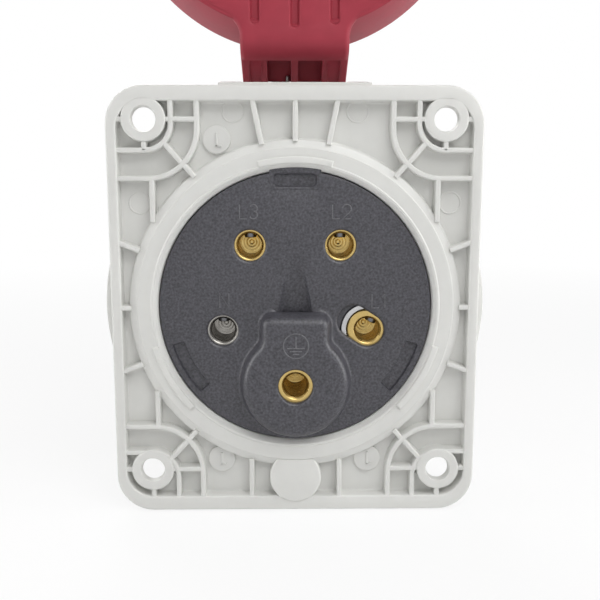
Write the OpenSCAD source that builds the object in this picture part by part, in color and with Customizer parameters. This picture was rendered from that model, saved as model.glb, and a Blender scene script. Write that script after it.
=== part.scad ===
// Panel-mounted five-pole industrial socket with a hinged spring lid, shown open.
// Drawn as seen from behind the panel: first axis to the right, second axis up,
// third axis toward the rear. The module placed() turns that into the part's frame.

/* [Flange] */
// Width of the flange
flange_w = 89; // [86:0.5:100]
// Height of the flange
flange_h = 104; // [102:0.5:120]
// Height of the flange's centre above the socket axis
flange_up = 0.6; // [0:0.1:2]
// Depth of the flange from the panel to its front skin
flange_t = 5.5; // [5:0.5:12]
// Thickness of the front skin
skin_t = 2.2; // [1.6:0.1:3]
// Outer corner radius
corner_r = 9; // [5:0.5:12]
// Width of the rim along the left and right edges
rim_side = 2.6; // [2:0.1:4]
// Width of the rim along the top and bottom edges
rim_end = 3.7; // [2.5:0.1:5]

/* [Panel screws] */
// Distance between the screw holes across the flange
hole_dx = 71; // [68:0.5:74]
// Distance between the screw holes up the flange
hole_dy = 85.5; // [83:0.5:90]
// Height of the hole pattern's centre above the socket axis
hole_up = 2; // [1:0.1:3]
// Radius of a screw hole
hole_r = 2.75; // [2.2:0.05:3]
// Radius of a screw boss
boss_r = 5.25; // [4.8:0.05:5.5]
// Radius of the screw head's counterbore at the front
head_r = 4.4; // [3.8:0.1:4.6]
// Web left under the screw head
hole_web = 2; // [1.6:0.1:4]

/* [Ribs] */
// Thickness of a flange rib
rib_t = 1.25; // [0.8:0.05:1.8]
// Depth of the rib tops below the rim
rib_low = 0.4; // [0.2:0.1:1]
// Width of the bevels along a rib's top
rib_edge = 0.35; // [0.1:0.05:0.4]
// Distance of the inner corner rib from the flange's side
inner_side = 15.3; // [15:0.1:16.5]
// Distance of the inner corner rib from the flange's end
inner_end = 15; // [13.5:0.1:16.5]
// Bend radius of the inner corner rib
inner_bend = 6.2; // [5:0.1:7]
// Distance of the outer corner rib from the flange's side
outer_side = 21.4; // [20:0.1:23]
// Distance of the outer corner rib from the flange's end
outer_end = 21.6; // [20:0.1:23]
// Bend radius of the outer corner rib
outer_bend = 11.6; // [10:0.1:13]
// Place across of the vertical ribs between the ring and the corners
ring_rib_x = 33.9; // [32:0.1:35]
// Lean of the outer two ribs above the ring
top_rib_lean = 11.5; // [9:0.5:14]
// Angle of the ribs beside the ring above and below its middle
side_rib_angle = 20.5; // [16:0.5:24]
// Place across of the ribs below the ring
bottom_rib_x = 10.9; // [9:0.1:12.5]

/* [Ring and collar] */
// Outer radius of the rear ring
ring_r = 40.25; // [38.5:0.25:41]
// Width of the lower band around the ring
ring_band = 2.05; // [1.5:0.05:2.5]
// Depth of the ring's face below the rim
ring_low = 0.4; // [0.2:0.1:0.8]
// Width of the chamfer at the ring's inner edge
ring_chamfer = 1.15; // [0.8:0.05:1.5]
// Width of a locking pad on the ring
pad_w = 1.7; // [1:0.1:2.2]
// Angle of a locking pad
pad_angle = 29; // [20:1:40]
// Distance of a locking pad from the ring's inner edge
pad_in = 0.2; // [0.1:0.05:0.4]
// Radius of the round body in front of the flange
body_r = 46.6; // [44:0.2:48]
// Length of the round body's straight part
body_l = 5; // [3:0.5:8]
// Length of the round body's cone
body_cone = 4; // [2:0.5:6]
// Inner radius of the collar around the plug
collar_in = 32.6; // [32.2:0.1:32.8]
// Wall of the collar
collar_wall = 4.2; // [3:0.1:5]
// Distance of the collar's mouth from the panel
collar_l = 48; // [46:0.5:56]
// Radius of the sealing lip at the mouth
lip_r = 40; // [38:0.1:40.2]
// Thickness of the sealing lip
lip_t = 3; // [2:0.2:4]
// Width of the keyway in the collar
key_w = 7.6; // [6:0.2:9]
// Depth of the keyway in the collar wall
key_d = 2.4; // [1.5:0.1:2.8]
// Radius of the keyway tab at the rear
tab_r = 6.4; // [5.5:0.1:6.8]
// Distance of the keyway tab below the socket axis
tab_down = 42.8; // [42:0.1:43.2]

/* [Insert] */
// Radius of the rear terminal plate
plate_r = 32.9; // [32:0.1:32.95]
// Depth of the terminal plate's face below the rim
plate_low = 1; // [0.8:0.1:1.4]
// Thickness of the terminal plate
plate_t = 9.2; // [9:0.2:12]
// Wall between the plate's face and the terminals
plate_wall = 1.5; // [1.2:0.1:2]
// Clearance around the terminal plate
plate_gap = 0.25; // [0.15:0.05:0.4]
// Radius of the front carrier
carrier_r = 27.6; // [27.2:0.1:28]
// Recess of the carrier's face in the mouth
carrier_low = 3; // [1:0.5:5]
// Front wall of the carrier
carrier_wall = 1.7; // [1.4:0.1:3]
// Clearance around the front carrier
carrier_gap = 0.3; // [0.2:0.05:0.5]
// Radius of the circle through the contacts
pitch_r = 18.6; // [18.2:0.1:19]
// Clearance around pieces that stand in a pocket
pocket_gap = 0.2; // [0.1:0.05:0.3]
// Thickness of the ledge that carries the terminal plate
ledge_t = 4; // [3:0.5:5]
// Section radius of the sealing ring around the plate
oring_r = 0.7; // [0.5:0.05:0.75]
// Clearance around the sealing ring
oring_gap = 0.1; // [0.05:0.05:0.15]
// Inner radius of the tool recesses in the plate's face
recess_in = 28.3; // [27:0.1:29]
// Outer radius of the tool recesses
recess_out = 31.4; // [30.5:0.1:31.8]
// Depth of the tool recesses
recess_d = 0.9; // [0.4:0.1:1.2]
// Angle of a side recess
recess_angle = 25; // [15:1:35]
// Angle of the side recesses' upper ends below the horizontal
recess_from = 17; // [10:1:25]
// Width of the recess at the plate's top
top_recess_w = 10.2; // [8:0.2:12]
// Height of the recess at the plate's top
top_recess_h = 3.1; // [2:0.1:3.6]
// Distance of the top recess from the socket axis
top_recess_v = 30.6; // [30:0.1:30.9]
// Corner radius of the top recess
top_recess_r = 0.9; // [0.4:0.1:1]

/* [Contacts] */
// Pin radius of a line contact
pin_r = 3; // [2.5:0.1:3.2]
// Pin radius of the earth contact
earth_pin_r = 4; // [3.5:0.1:4.2]
// Running clearance around a pin
pin_gap = 0.05; // [0.02:0.01:0.08]
// Wall of a contact sleeve
sleeve_wall = 1.25; // [1:0.05:1.4]
// Depth of the pin bore in a sleeve
sleeve_depth = 26.5; // [22:0.5:27.5]
// Width of a slot between the sleeve fingers
slot_w = 0.8; // [0.5:0.1:1]
// Length of a slot between the sleeve fingers
slot_l = 18; // [12:0.5:20]
// Clearance between a sleeve's tip and the carrier's front wall
tip_gap = 0.3; // [0.2:0.05:0.5]
// Clearance of a pin's hole in the carrier's front wall
pin_hole_gap = 0.4; // [0.3:0.05:0.6]
// Length of a terminal body inside the carrier
pocket_l = 3.8; // [3:0.1:5]
// Radius of a terminal body
terminal_r = 5; // [4.6:0.1:5.2]
// Radius of the earth terminal body
earth_terminal_r = 5.6; // [5.3:0.1:5.8]
// Radius of a wire bore
wire_r = 2.85; // [2.4:0.05:3]
// Depth of a line terminal's wire bore to its drill point
wire_depth = 9; // [8:0.2:10]
// Slope of the wire bore's drill point
drill_angle = 31; // [25:1:35]
// Radius of a line opening in the plate
opening_r = 3.75; // [3.4:0.05:4]
// Radius of the earth opening in its boss
earth_opening_r = 4.15; // [3.8:0.05:4.4]
// Length by which the first line's opening is oblong
oblong = 3.45; // [2.5:0.05:3.6]
// Direction in which the first line's opening is oblong
oblong_angle = 147; // [140:1:155]
// Width of the countersink around a wire opening
sink_w = 0.5; // [0.3:0.05:0.8]
// Thickness of the clip beside the first line's terminal
clip_t = 1.3; // [0.8:0.1:1.5]
// Angle that the clip curls around its terminal
clip_angle = 110; // [90:5:130]
// Length of the clip along its terminal
clip_l = 3; // [2:0.1:4]
// Section width of a contact spring ring
spring_ring_w = 1.2; // [0.8:0.1:1.6]
// Depth of a spring ring's groove in its sleeve
groove_depth = 0.45; // [0.3:0.05:0.6]
// Distance of a spring ring from its sleeve's tip
ring_from_tip = 3; // [2:0.1:5]
// Clearance of a spring ring in its groove
ring_fit = 0.04; // [0.02:0.01:0.08]

/* [Terminal screws] */
// Radius of a terminal screw
screw_r = 2; // [1.5:0.05:2.2]
// Running clearance of a terminal screw in its thread
screw_gap = 0.05; // [0.02:0.01:0.08]
// Length of a terminal screw
screw_l = 5; // [4:0.2:6]
// Depth of the screws behind the plate's face
screw_low = 5; // [4.4:0.1:5.4]
// Tilt of the first line's screw away from vertical
screw_tilt = 28; // [20:1:35]
// Clearance of the screwdriver channel around a screw
channel_gap = 0.3; // [0.2:0.05:0.5]
// Distance of a screw's tip from the wire bore
screw_back = 0.05; // [0.05:0.05:0.5]
// Width of a screw's slot
screw_slot_w = 0.8; // [0.6:0.1:1]
// Depth of a screw's slot
screw_slot_d = 1.2; // [0.8:0.1:1.6]

/* [Earth boss] */
// Radius of the boss at its foot
boss_foot_r = 13.4; // [12.5:0.1:13.6]
// Radius of the boss at its top
boss_top_r = 12.2; // [11:0.1:12.4]
// Height of the boss over the plate's face
boss_h = 5; // [3.5:0.1:6]
// Width of the boss's neck
neck_w = 17.2; // [15:0.2:18]
// Height of the neck's top edge below the socket axis
neck_down = 1.2; // [0.5:0.1:2]
// Radius of the screwdriver groove that slants down under the neck
driver_r = 4.3; // [3.5:0.1:4.6]
// Slope of the screwdriver groove
driver_angle = 14; // [10:1:18]
// Height of the groove's axis over the plate's face at the neck
driver_up = 0.9; // [0.5:0.1:1.5]
// Length by which the groove runs on under the neck
driver_in = 6; // [4:0.5:8]
// Corner radius of the neck
neck_corner = 2.8; // [2:0.1:4]

/* [Hinge] */
// Height of the hinge axis above the closed lid's rim
hinge_up = 8.7; // [8.3:0.1:12]
// Distance of the hinge axis from the panel
hinge_out = 32.4; // [30:0.1:36]
// Radius of the hinge pin
hinge_pin_r = 1.5; // [1.2:0.05:1.6]
// Running clearance around the hinge pin
hinge_gap = 0.05; // [0.02:0.01:0.08]
// Radius of the hinge eyes
eye_r = 2.6; // [2.4:0.1:3]
// Distance between the housing's two hinge lugs
lug_gap = 28.4; // [28:0.2:32]
// Thickness of a hinge lug
lug_t = 6; // [4:0.2:8]
// Inset of a wall from the edge of the hinge eye it runs into
eye_in = 0.3; // [0.2:0.05:0.5]
// Distance of a lug's foot from the flange's top edge
lug_foot = 8; // [6:0.5:12]
// Depth by which a lug's foot runs into the collar
lug_root = 1; // [0.5:0.1:2]

/* [Lid] */
// Radius of the lid's rim
lid_r = 45.5; // [44.8:0.1:47]
// Radius of the lid's face
lid_face_r = 41.8; // [41:0.1:42.5]
// Height of the lid
lid_h = 14; // [12:0.2:16]
// Wall of the lid
lid_wall = 2.3; // [1.8:0.1:2.6]
// Thickness of the lid's face
lid_top = 2.5; // [2:0.1:3]
// Width of the bevel around the lid's face
lid_edge = 0.8; // [0.4:0.1:1.2]
// Distance of the lid's rim behind the collar's mouth when closed
lid_cover = 8.2; // [6:0.2:9]
// Width of the lid's neck
lid_neck_w = 26.8; // [24:0.2:27.4]
// Thickness of the neck's side walls
lid_neck_t = 2; // [1.4:0.1:2.6]
// Distance of the neck's bend from the lid's face
neck_out = 1.4; // [1:0.1:2.5]
// Distance of the neck's skin edge beyond the bend
skin_out = 4.4; // [3:0.1:5]
// Fall of the neck's skin from the lid's face to its edge
skin_fall = 4.6; // [3:0.1:6]
// Thickness of the neck's skin and floor
neck_skin_t = 1.6; // [1.2:0.1:2]
// Distance by which the neck runs under the lid's face
neck_in = 3; // [2:0.1:4]
// Depth by which the neck's foot runs up the lid's wall
neck_root = 2; // [1.5:0.1:3]
// Step between the lid's rim and the neck's foot
neck_step = 0.2; // [0.1:0.05:0.4]
// Thickness of the neck's inner ribs
lid_rib_t = 1.8; // [1.2:0.1:2.2]
// Distance between the neck's inner ribs
lid_rib_gap = 7.9; // [7:0.1:8.5]
// Width of a grip groove
groove_w = 2.3; // [1.5:0.1:3]
// Depth of a grip groove
groove_d = 0.9; // [0.4:0.1:1.4]
// Distance between grip grooves
groove_pitch = 9.75; // [8:0.05:11]
// Distance of a grip groove's end from the face's edge
groove_in = 1.4; // [1:0.1:3]
// Length of a grip groove between the centres of its ends
groove_l = 66.4; // [50:0.2:70]
// Gap between the lid's seal and the collar's lip when closed
seal_gap = 0.3; // [0.2:0.05:0.6]
// Width of the lid's seal
seal_w = 5; // [3:0.1:6]
// Inset of the lid's seal from the lid's inner wall
seal_in = 0.8; // [0.6:0.1:1.2]

/* [Spring] */
// Wire radius of the lid spring
wire_spring_r = 0.5; // [0.35:0.05:0.6]
// Coil radius of the lid spring
coil_r = 2.5; // [2.4:0.05:2.7]
// Turns of the lid spring
coil_turns = 4; // [2:1:4]
// Length of the spring's leg on the lid
lid_leg = 5; // [3:0.1:5]
// Gap between the spring's other leg and the collar
spring_seat = 0.3; // [0.2:0.05:0.5]
// Gap between the spring and the ribs beside it
spring_side_gap = 0.4; // [0.3:0.05:0.6]
// Direction in which the spring's leg leaves toward the collar
leg_start = 90; // [85:1:95]
// Direction in which the spring's leg leaves toward the lid
leg_exit = 115; // [105:1:120]

/* [Hidden] */
$fn = 96;

// Overshoot of cuts past a face
cut = 1;
// Overlap of forms that are one moulding
weld = 0.5;
// Overshoot of a cone that is cut past a face
sliver = 0.001;
// Flat left at a drill's point
drill_tip_r = 0.02;

floor_w = -(flange_t - skin_t);
bore_r = plate_r + plate_gap;
ring_in = bore_r + ring_chamfer;
pad_r = ring_in + pad_in;
plate_front = -plate_low - plate_t;
ledge_front = plate_front - ledge_t;
carrier_front = -(collar_l - carrier_low);
collar_r = collar_in + collar_wall;

// The closed lid, and the hinge axis that follows its rim
lid_rim = -collar_l + lid_cover;
lid_face = lid_rim - lid_h;
lid_inside = lid_face + lid_top;
lid_taper = (lid_r - lid_face_r) / lid_h;
lid_in = lid_r - lid_wall;
lid_in_face = lid_in - lid_taper * (lid_rim - lid_inside);
hinge_v = lid_r + hinge_up;

// Contact places: index 0 to 4 is L1, L2, L3, N and earth
contact_angle = [-18, 54, 126, 198, 270];
earth_index = 4;
function contact_at(i) = pitch_r * [cos(contact_angle[i]), sin(contact_angle[i])];
function pin_of(i) = i == earth_index ? earth_pin_r : pin_r;
function body_of(i) = i == earth_index ? earth_terminal_r : terminal_r;
function opening_of(i) = i == earth_index ? earth_opening_r : opening_r;
function face_of(i) = i == earth_index ? boss_h - plate_low : -plate_low;
function rear_of(i) = face_of(i) - plate_wall;
function sleeve_of(i) = pin_of(i) + pin_gap + sleeve_wall;
function screw_turn(i) = i == 0 ? -screw_tilt : 0;
// The sleeves start at the bottom of the carrier's rear pockets
shoulder_w = plate_front - pocket_l;
sleeve_tip = carrier_front + carrier_wall + tip_gap;
screw_w = -plate_low - screw_low;
// The earth's wire bore ends level with the others, so that every screw clamps inside its bore
wire_bottom = -plate_low - plate_wall - wire_depth;
ring_w_at = sleeve_tip + ring_from_tip;

// Points of an arc, of a rounded rectangle about the origin and of a slot
corner_step_count = 10;
function corner(x, y, r, from, turn = 90) =
    let (steps = corner_step_count * turn / 90)
    [for (k = [0 : steps]) [x + r * cos(from + turn * k / steps), y + r * sin(from + turn * k / steps)]];
function rounded(w, h, r) = concat(
    corner(w / 2 - r, h / 2 - r, r, 0), corner(r - w / 2, h / 2 - r, r, 90),
    corner(r - w / 2, r - h / 2, r, 180), corner(w / 2 - r, r - h / 2, r, 270));
// Points of a slot with round ends from the origin to a length along x
function slot_points(l, r) = concat(corner(0, 0, r, 90, 180), corner(l, 0, r, 270, 180));

// Turns the view from behind into the part's frame: +Z up, panel side toward +Y
module placed() rotate([90, 0, 180]) children();

// Extrudes a shape drawn in the up and rear directions, from one place across to another
module across(from, to)
    translate([from, 0, 0]) rotate([90, 0, 90]) linear_extrude(to - from) children();

// A shaft along the rear axis between two depths
module shaft(r, front, rear) translate([0, 0, front]) cylinder(r = r, h = rear - front);

// A ring around the rear axis between two depths
module ring(inner, outer, front, rear)
    rotate_extrude() polygon([[inner, front], [outer, front], [outer, rear], [inner, rear]]);

// Cross section of a flange rib with a bevelled top, standing on the front skin
rib_profile = [
    [-rib_t / 2, floor_w - weld], [rib_t / 2, floor_w - weld],
    [rib_t / 2, -rib_low - rib_edge], [rib_t / 2 - rib_edge, -rib_low],
    [rib_edge - rib_t / 2, -rib_low], [-rib_t / 2, -rib_low - rib_edge]];

// A straight rib from one point to another
module rib(a, b)
    translate([a[0], a[1], 0]) rotate([0, 0, atan2(b[1] - a[1], b[0] - a[0])])
        rotate([90, 0, 90]) linear_extrude(norm(b - a)) polygon(rib_profile);

// A rib bent from the flange's end to its side, with its place from the flange's corner
module bent_rib(side, end, bend) {
    x = flange_w / 2 - side;
    y = flange_h / 2 - end;
    rib([x, y + bend], [x, flange_h / 2 - rim_end / 2]);
    rib([x + bend, y], [flange_w / 2 - rim_side / 2, y]);
    translate([x + bend, y + bend, 0]) rotate([0, 0, 180]) rotate_extrude(angle = 90)
        polygon([for (p = rib_profile) [bend + p[0], p[1]]]);
}

// The ribs of one corner, with the sign of its place across and up
module corner_ribs(sx, sy) {
    hole = [hole_dx / 2, sy * (hole_up - flange_up) + hole_dy / 2];
    inner_x = flange_w / 2 - inner_side;
    inner_y = flange_h / 2 - inner_end;
    outer_x = flange_w / 2 - outer_side;
    outer_y = flange_h / 2 - outer_end;
    lean = 1 - cos(45);
    inner_mid = [inner_x, inner_y] + inner_bend * [lean, lean];
    outer_mid = [outer_x, outer_y] + outer_bend * [lean, lean];
    slant = (inner_mid - outer_mid) / norm(inner_mid - outer_mid);
    to_ring = norm(outer_mid + [0, sy * flange_up]) - ring_r + 2 * weld;
    scale([sx, sy, 1]) {
        bent_rib(inner_side, inner_end, inner_bend);
        bent_rib(outer_side, outer_end, outer_bend);
        rib([outer_x, hole[1]], [hole[0] - boss_r + weld, hole[1]]);
        rib([hole[0] + boss_r - weld, hole[1]], [flange_w / 2 - rim_side / 2, hole[1]]);
        rib([hole[0], inner_y], [hole[0], hole[1] - boss_r + weld]);
        rib(outer_mid - to_ring * slant, inner_mid);
        rib([ring_rib_x, ring_foot(ring_rib_x, sy)], [ring_rib_x, outer_y]);
        if (sy < 0) rib([hole[0], hole[1] + boss_r - weld], [hole[0], flange_h / 2 - rim_end / 2]);
    }
}
// Height over the flange's centre at which a vertical rib meets the ring
function ring_foot(x, sy) = sqrt(pow(ring_r - weld, 2) - x * x) - sy * flange_up;

// The short ribs between the ring and the rim
module edge_ribs() {
    top = flange_up + flange_h / 2 - rim_end / 2;
    bottom = flange_up - flange_h / 2 + rim_end / 2;
    side = flange_w / 2 - rim_side / 2;
    for (lean = [-top_rib_lean, 0, top_rib_lean])
        rib((ring_r - weld) * [sin(lean), cos(lean)], top * [tan(lean), 1]);
    for (sx = [-1, 1]) {
        rib([sx * bottom_rib_x, bottom], [sx * bottom_rib_x, -ring_foot(bottom_rib_x, 0)]);
        for (a = [-side_rib_angle, 0, side_rib_angle])
            rib((ring_r - weld) * [sx * cos(a), sin(a)], side * [sx, tan(a)]);
    }
}

// Hollow tray of the flange
module tray() translate([0, flange_up, 0]) difference() {
    translate([0, 0, -flange_t]) linear_extrude(flange_t) polygon(rounded(flange_w, flange_h, corner_r));
    translate([0, 0, floor_w]) linear_extrude(flange_t + cut)
        polygon(rounded(flange_w - 2 * rim_side, flange_h - 2 * rim_end, corner_r - rim_side));
}

module at_holes()
    for (sx = [-1, 1], sy = [-1, 1])
        translate([sx * hole_dx / 2, hole_up + sy * hole_dy / 2, 0]) children();

// Ring, round body and collar in one turned form
body_front = -flange_t - body_l;
body_neck = body_front - body_cone;
module round_body() rotate_extrude() polygon([
    [collar_in, -collar_l], [lip_r, -collar_l], [lip_r, -collar_l + lip_t], [collar_r, -collar_l + lip_t],
    [collar_r, body_neck], [body_r, body_front], [body_r, -flange_t + weld],
    [ring_r, -flange_t + weld], [ring_r, -2 * ring_low], [ring_r - ring_band, -2 * ring_low],
    [ring_r - ring_band, -ring_low], [ring_in, -ring_low], [bore_r, -ring_low - ring_chamfer],
    [bore_r, plate_front], [carrier_r + carrier_gap, plate_front], [carrier_r + carrier_gap, ledge_front],
    [collar_in, ledge_front]]);

module lugs() for (sx = [-1, 1]) scale([sx, 1, 1]) {
    near = lug_gap / 2;
    far = near + lug_t;
    root = sqrt(pow(collar_r - lug_root, 2) - far * far);
    half = eye_r - eye_in;
    across(near, far) polygon([
        [root, -hinge_out - half], [hinge_v, -hinge_out - half], [hinge_v, -hinge_out + half],
        [flange_up + flange_h / 2 - lug_foot, -flange_t + weld], [root, -flange_t + weld]]);
    translate([near, hinge_v, -hinge_out]) rotate([0, 90, 0]) cylinder(r = eye_r, h = lug_t);
}

// Grey moulding: flange, ring, round body, collar and hinge lugs
module housing() color("gainsboro") placed() difference() {
    union() {
        difference() {
            union() {
                tray();
                translate([0, flange_up, 0]) for (sx = [-1, 1], sy = [-1, 1]) corner_ribs(sx, sy);
                edge_ribs();
                at_holes() shaft(boss_r, floor_w - weld, 0);
                translate([0, -tab_down, 0]) shaft(tab_r, floor_w - weld, 0);
            }
            shaft(ring_r - weld, -flange_t - cut, cut);
        }
        round_body();
        for (a = [90, 210, 330]) rotate([0, 0, a - pad_angle / 2]) rotate_extrude(angle = pad_angle)
            translate([pad_r, -ring_low - weld]) square([pad_w, ring_low + weld]);
        lugs();
    }
    at_holes() {
        shaft(hole_r, -flange_t - cut, cut);
        shaft(head_r, body_neck, -hole_web);
    }
    translate([-key_w / 2, -collar_in - key_d, -collar_l - cut])
        cube([key_w, 2 * key_d, collar_l + cut + ledge_front]);
    translate([-lug_gap / 2 - lug_t - cut, hinge_v, -hinge_out]) rotate([0, 90, 0])
        cylinder(r = hinge_pin_r + hinge_gap / 2, h = lug_gap + 2 * lug_t + 2 * cut);
}

// Places the children at one contact
module at_contact(i) translate([contact_at(i)[0], contact_at(i)[1], 0]) children();

// A cylinder from a contact's axis outward along its terminal screw
module along_screw(i, r, from, to)
    at_contact(i) translate([0, 0, screw_w]) rotate([0, 0, screw_turn(i)]) rotate([-90, 0, 0])
        translate([0, 0, from]) cylinder(r = r, h = to - from);

// Shallow marks left by tools in the plate's face, in a band near its edge
module plate_recesses() {
    translate([0, top_recess_v, -plate_low - recess_d]) linear_extrude(recess_d + cut)
        polygon(rounded(top_recess_w, top_recess_h, top_recess_r));
    for (a = [-recess_from - recess_angle, 180 + recess_from]) rotate([0, 0, a])
        rotate_extrude(angle = recess_angle)
            polygon([[recess_in, -plate_low - recess_d], [recess_out, -plate_low - recess_d],
            [recess_out, cut], [recess_in, cut]]);
}

// The sealing ring lies in a step at the plate's front edge
oring_at = plate_front + oring_r + oring_gap;
oring_mid = plate_r - oring_r + oring_gap;
neck_top = -neck_down - contact_at(earth_index)[1];
module earth_boss() at_contact(earth_index) {
    translate([0, 0, -plate_low - weld]) cylinder(r1 = boss_foot_r, r2 = boss_top_r, h = boss_h + weld);
    translate([0, neck_top / 2, -plate_low - weld]) linear_extrude(boss_h + weld)
        polygon(rounded(neck_w, neck_top, neck_corner));
}

// Groove for the screwdriver that turns the earth's screw, from the plate's face down under the neck
driver_l = (driver_r - driver_up) / sin(driver_angle) + 2 * driver_r;
module driver_groove()
    translate([0, -neck_down, driver_up - plate_low]) rotate([driver_angle - 90, 0, 0])
        translate([0, 0, -driver_in]) cylinder(r = driver_r, h = driver_in + driver_l);

// Dark rear half of the insert, with the wire openings, the earth boss and its screwdriver groove
module terminal_plate() color("dimgray") placed() difference() {
    union() {
        difference() {
            shaft(plate_r, plate_front, -plate_low);
            driver_groove();
        }
        earth_boss();
    }
    for (i = [0 : earth_index]) {
        at_contact(i) {
            shaft(opening_of(i), plate_front - cut, boss_h);
            shaft(body_of(i) + pocket_gap, plate_front - cut, rear_of(i));
            translate([0, 0, face_of(i) - sink_w])
                cylinder(r1 = opening_of(i), r2 = opening_of(i) + sink_w, h = sink_w + sliver);
        }
        along_screw(i, screw_r + channel_gap, 0, i == earth_index ? neck_top - driver_in : 2 * plate_r);
    }
    at_contact(0) {
        translate([0, 0, rear_of(0) - pocket_gap]) rotate([0, 0, oblong_angle])
            linear_extrude(plate_wall + cut) polygon(slot_points(oblong, opening_r));
        shaft(terminal_r + 2 * pocket_gap + clip_t, plate_front - cut, rear_of(0));
    }
    plate_recesses();
    ring(plate_r - 2 * oring_r, plate_r + cut, plate_front - cut, oring_at + oring_r + oring_gap);
}

// Dark front half of the insert, which holds the contact sleeves
module front_carrier() color("dimgray") placed() difference() {
    shaft(carrier_r, carrier_front, plate_front);
    for (i = [0 : earth_index]) at_contact(i) {
        shaft(pin_of(i) + pin_hole_gap, carrier_front - cut, plate_front + cut);
        shaft(sleeve_of(i) + pocket_gap, carrier_front + carrier_wall, plate_front + cut);
        shaft(body_of(i) + pocket_gap, shoulder_w, plate_front + cut);
    }
}

// Sealing ring around the terminal plate
module insert_seal() color("black") placed()
    translate([0, 0, oring_at]) rotate_extrude() translate([oring_mid, 0]) circle(r = oring_r);

// A turned contact: slotted sleeve in front, terminal with a wire bore behind
module contact(i) placed() at_contact(i) {
    pin = pin_of(i) + pin_gap;
    rear = rear_of(i);
    point = wire_r * tan(drill_angle);
    difference() {
        union() {
            shaft(body_of(i), shoulder_w, rear);
            shaft(sleeve_of(i), sleeve_tip, shoulder_w + weld);
        }
        shaft(pin, sleeve_tip - cut, sleeve_tip + sleeve_depth);
        shaft(wire_r, wire_bottom, rear + cut);
        translate([0, 0, wire_bottom - point]) cylinder(r1 = drill_tip_r, r2 = wire_r, h = point);
        for (a = [45, 135]) rotate([0, 0, a]) translate([-slot_w / 2, -terminal_r * 2, sleeve_tip - cut])
            cube([slot_w, terminal_r * 4, slot_l + cut]);
        ring(sleeve_of(i) - groove_depth, sleeve_of(i) + cut, ring_w_at, ring_w_at + spring_ring_w);
        translate([0, 0, screw_w]) rotate([0, 0, screw_turn(i)]) rotate([-90, 0, 0])
            cylinder(r = screw_r + screw_gap, h = 2 * terminal_r);
    }
}
module contact_l1() color("goldenrod") contact(0);
module contact_l2() color("goldenrod") contact(1);
module contact_l3() color("goldenrod") contact(2);
module contact_n() color("silver") contact(3);
module contact_pe() color("goldenrod") contact(earth_index);

// Open steel ring that presses a sleeve's fingers together
module spring_ring(i) color("silver") placed() at_contact(i) difference() {
    ring(sleeve_of(i) - groove_depth + ring_fit, sleeve_of(i) + pocket_gap / 2,
        ring_w_at + ring_fit, ring_w_at + spring_ring_w - ring_fit);
    translate([0, -slot_w / 2, ring_w_at - cut]) cube([2 * terminal_r, slot_w, spring_ring_w + 2 * cut]);
}
module spring_ring_l1() spring_ring(0);
module spring_ring_l2() spring_ring(1);
module spring_ring_l3() spring_ring(2);
module spring_ring_n() spring_ring(3);
module spring_ring_pe() spring_ring(earth_index);

// Slotted clamping screw, drawn back so that the wire bore is clear
screw_from = wire_r + screw_back;
module screw(i) color("silver") placed() difference() {
    along_screw(i, screw_r, screw_from, screw_from + screw_l);
    at_contact(i) translate([0, 0, screw_w]) rotate([0, 0, screw_turn(i)])
        translate([-2 * screw_r, screw_from + screw_l - screw_slot_d, -screw_slot_w / 2])
            cube([4 * screw_r, screw_slot_d + cut, screw_slot_w]);
}
module screw_l1() screw(0);
module screw_l2() screw(1);
module screw_l3() screw(2);
module screw_n() screw(3);
module screw_pe() screw(earth_index);

// Plated clip that curls around the first line's terminal, seen through the oblong opening
clip_in = terminal_r + pocket_gap;
module terminal_clip() color("silver") placed() at_contact(0)
    rotate([0, 0, oblong_angle - clip_angle / 2]) rotate_extrude(angle = clip_angle)
        polygon([[clip_in, rear_of(0) - clip_l], [clip_in + clip_t, rear_of(0) - clip_l],
            [clip_in + clip_t, rear_of(0)], [clip_in, rear_of(0)]]);

// Steel pin through the lugs and the lid's eyes
module hinge_pin() color("silver") placed()
    translate([-lug_gap / 2 - lug_t, hinge_v, -hinge_out]) rotate([0, 90, 0])
        cylinder(r = hinge_pin_r, h = lug_gap + 2 * lug_t);

// Turns what is drawn closed into the open place, half a turn about the hinge
module opened() translate([0, hinge_v, -hinge_out]) rotate([180, 0, 0])
    translate([0, -hinge_v, hinge_out]) children();

// The neck's bend and the edge of its skin, seen from the side of the closed lid
bend_v = lid_face_r + neck_out;
skin_v = bend_v + skin_out;
skin_w = lid_face + skin_fall;

module lid_cup() rotate_extrude() polygon([
    [0, lid_face], [lid_face_r - lid_edge, lid_face], [lid_face_r, lid_face + lid_edge], [lid_r, lid_rim],
    [lid_in, lid_rim], [lid_in_face, lid_inside], [0, lid_inside]]);

// One wall of the neck, from the lid's face to its hinge eye
module neck_wall(from, to) {
    across(from, to) polygon([
        [lid_face_r - neck_in + weld, lid_face + weld], [bend_v, lid_face + weld], [skin_v, skin_w],
        [hinge_v + eye_r - eye_in, -hinge_out - weld], [hinge_v - eye_r + eye_in, -hinge_out],
        [lid_in + lid_wall / 2, lid_rim + neck_step], [lid_in + lid_wall / 3, lid_rim - neck_root]]);
    translate([from, hinge_v, -hinge_out]) rotate([0, 90, 0]) cylinder(r = eye_r, h = to - from);
}

// Skin that closes the neck outside, and the floor under its ribs
module neck_skin() {
    half = lid_neck_w / 2;
    across(-half, half) polygon([
        [lid_face_r - neck_in, lid_face], [bend_v, lid_face], [skin_v, skin_w],
        [skin_v, skin_w + neck_skin_t], [bend_v - neck_skin_t / 2, lid_face + lid_wall],
        [lid_face_r - neck_in, lid_face + lid_wall]]);
    across(-half, half) polygon([
        [lid_in + lid_wall / 4, lid_rim - neck_root - weld],
        [lid_in + lid_wall * 2 / 3, lid_rim + neck_step],
        [hinge_v - eye_r - neck_skin_t, -hinge_out - neck_skin_t],
        [hinge_v - eye_r - neck_skin_t / 2, -hinge_out - 2 * neck_skin_t - weld]]);
}

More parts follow.
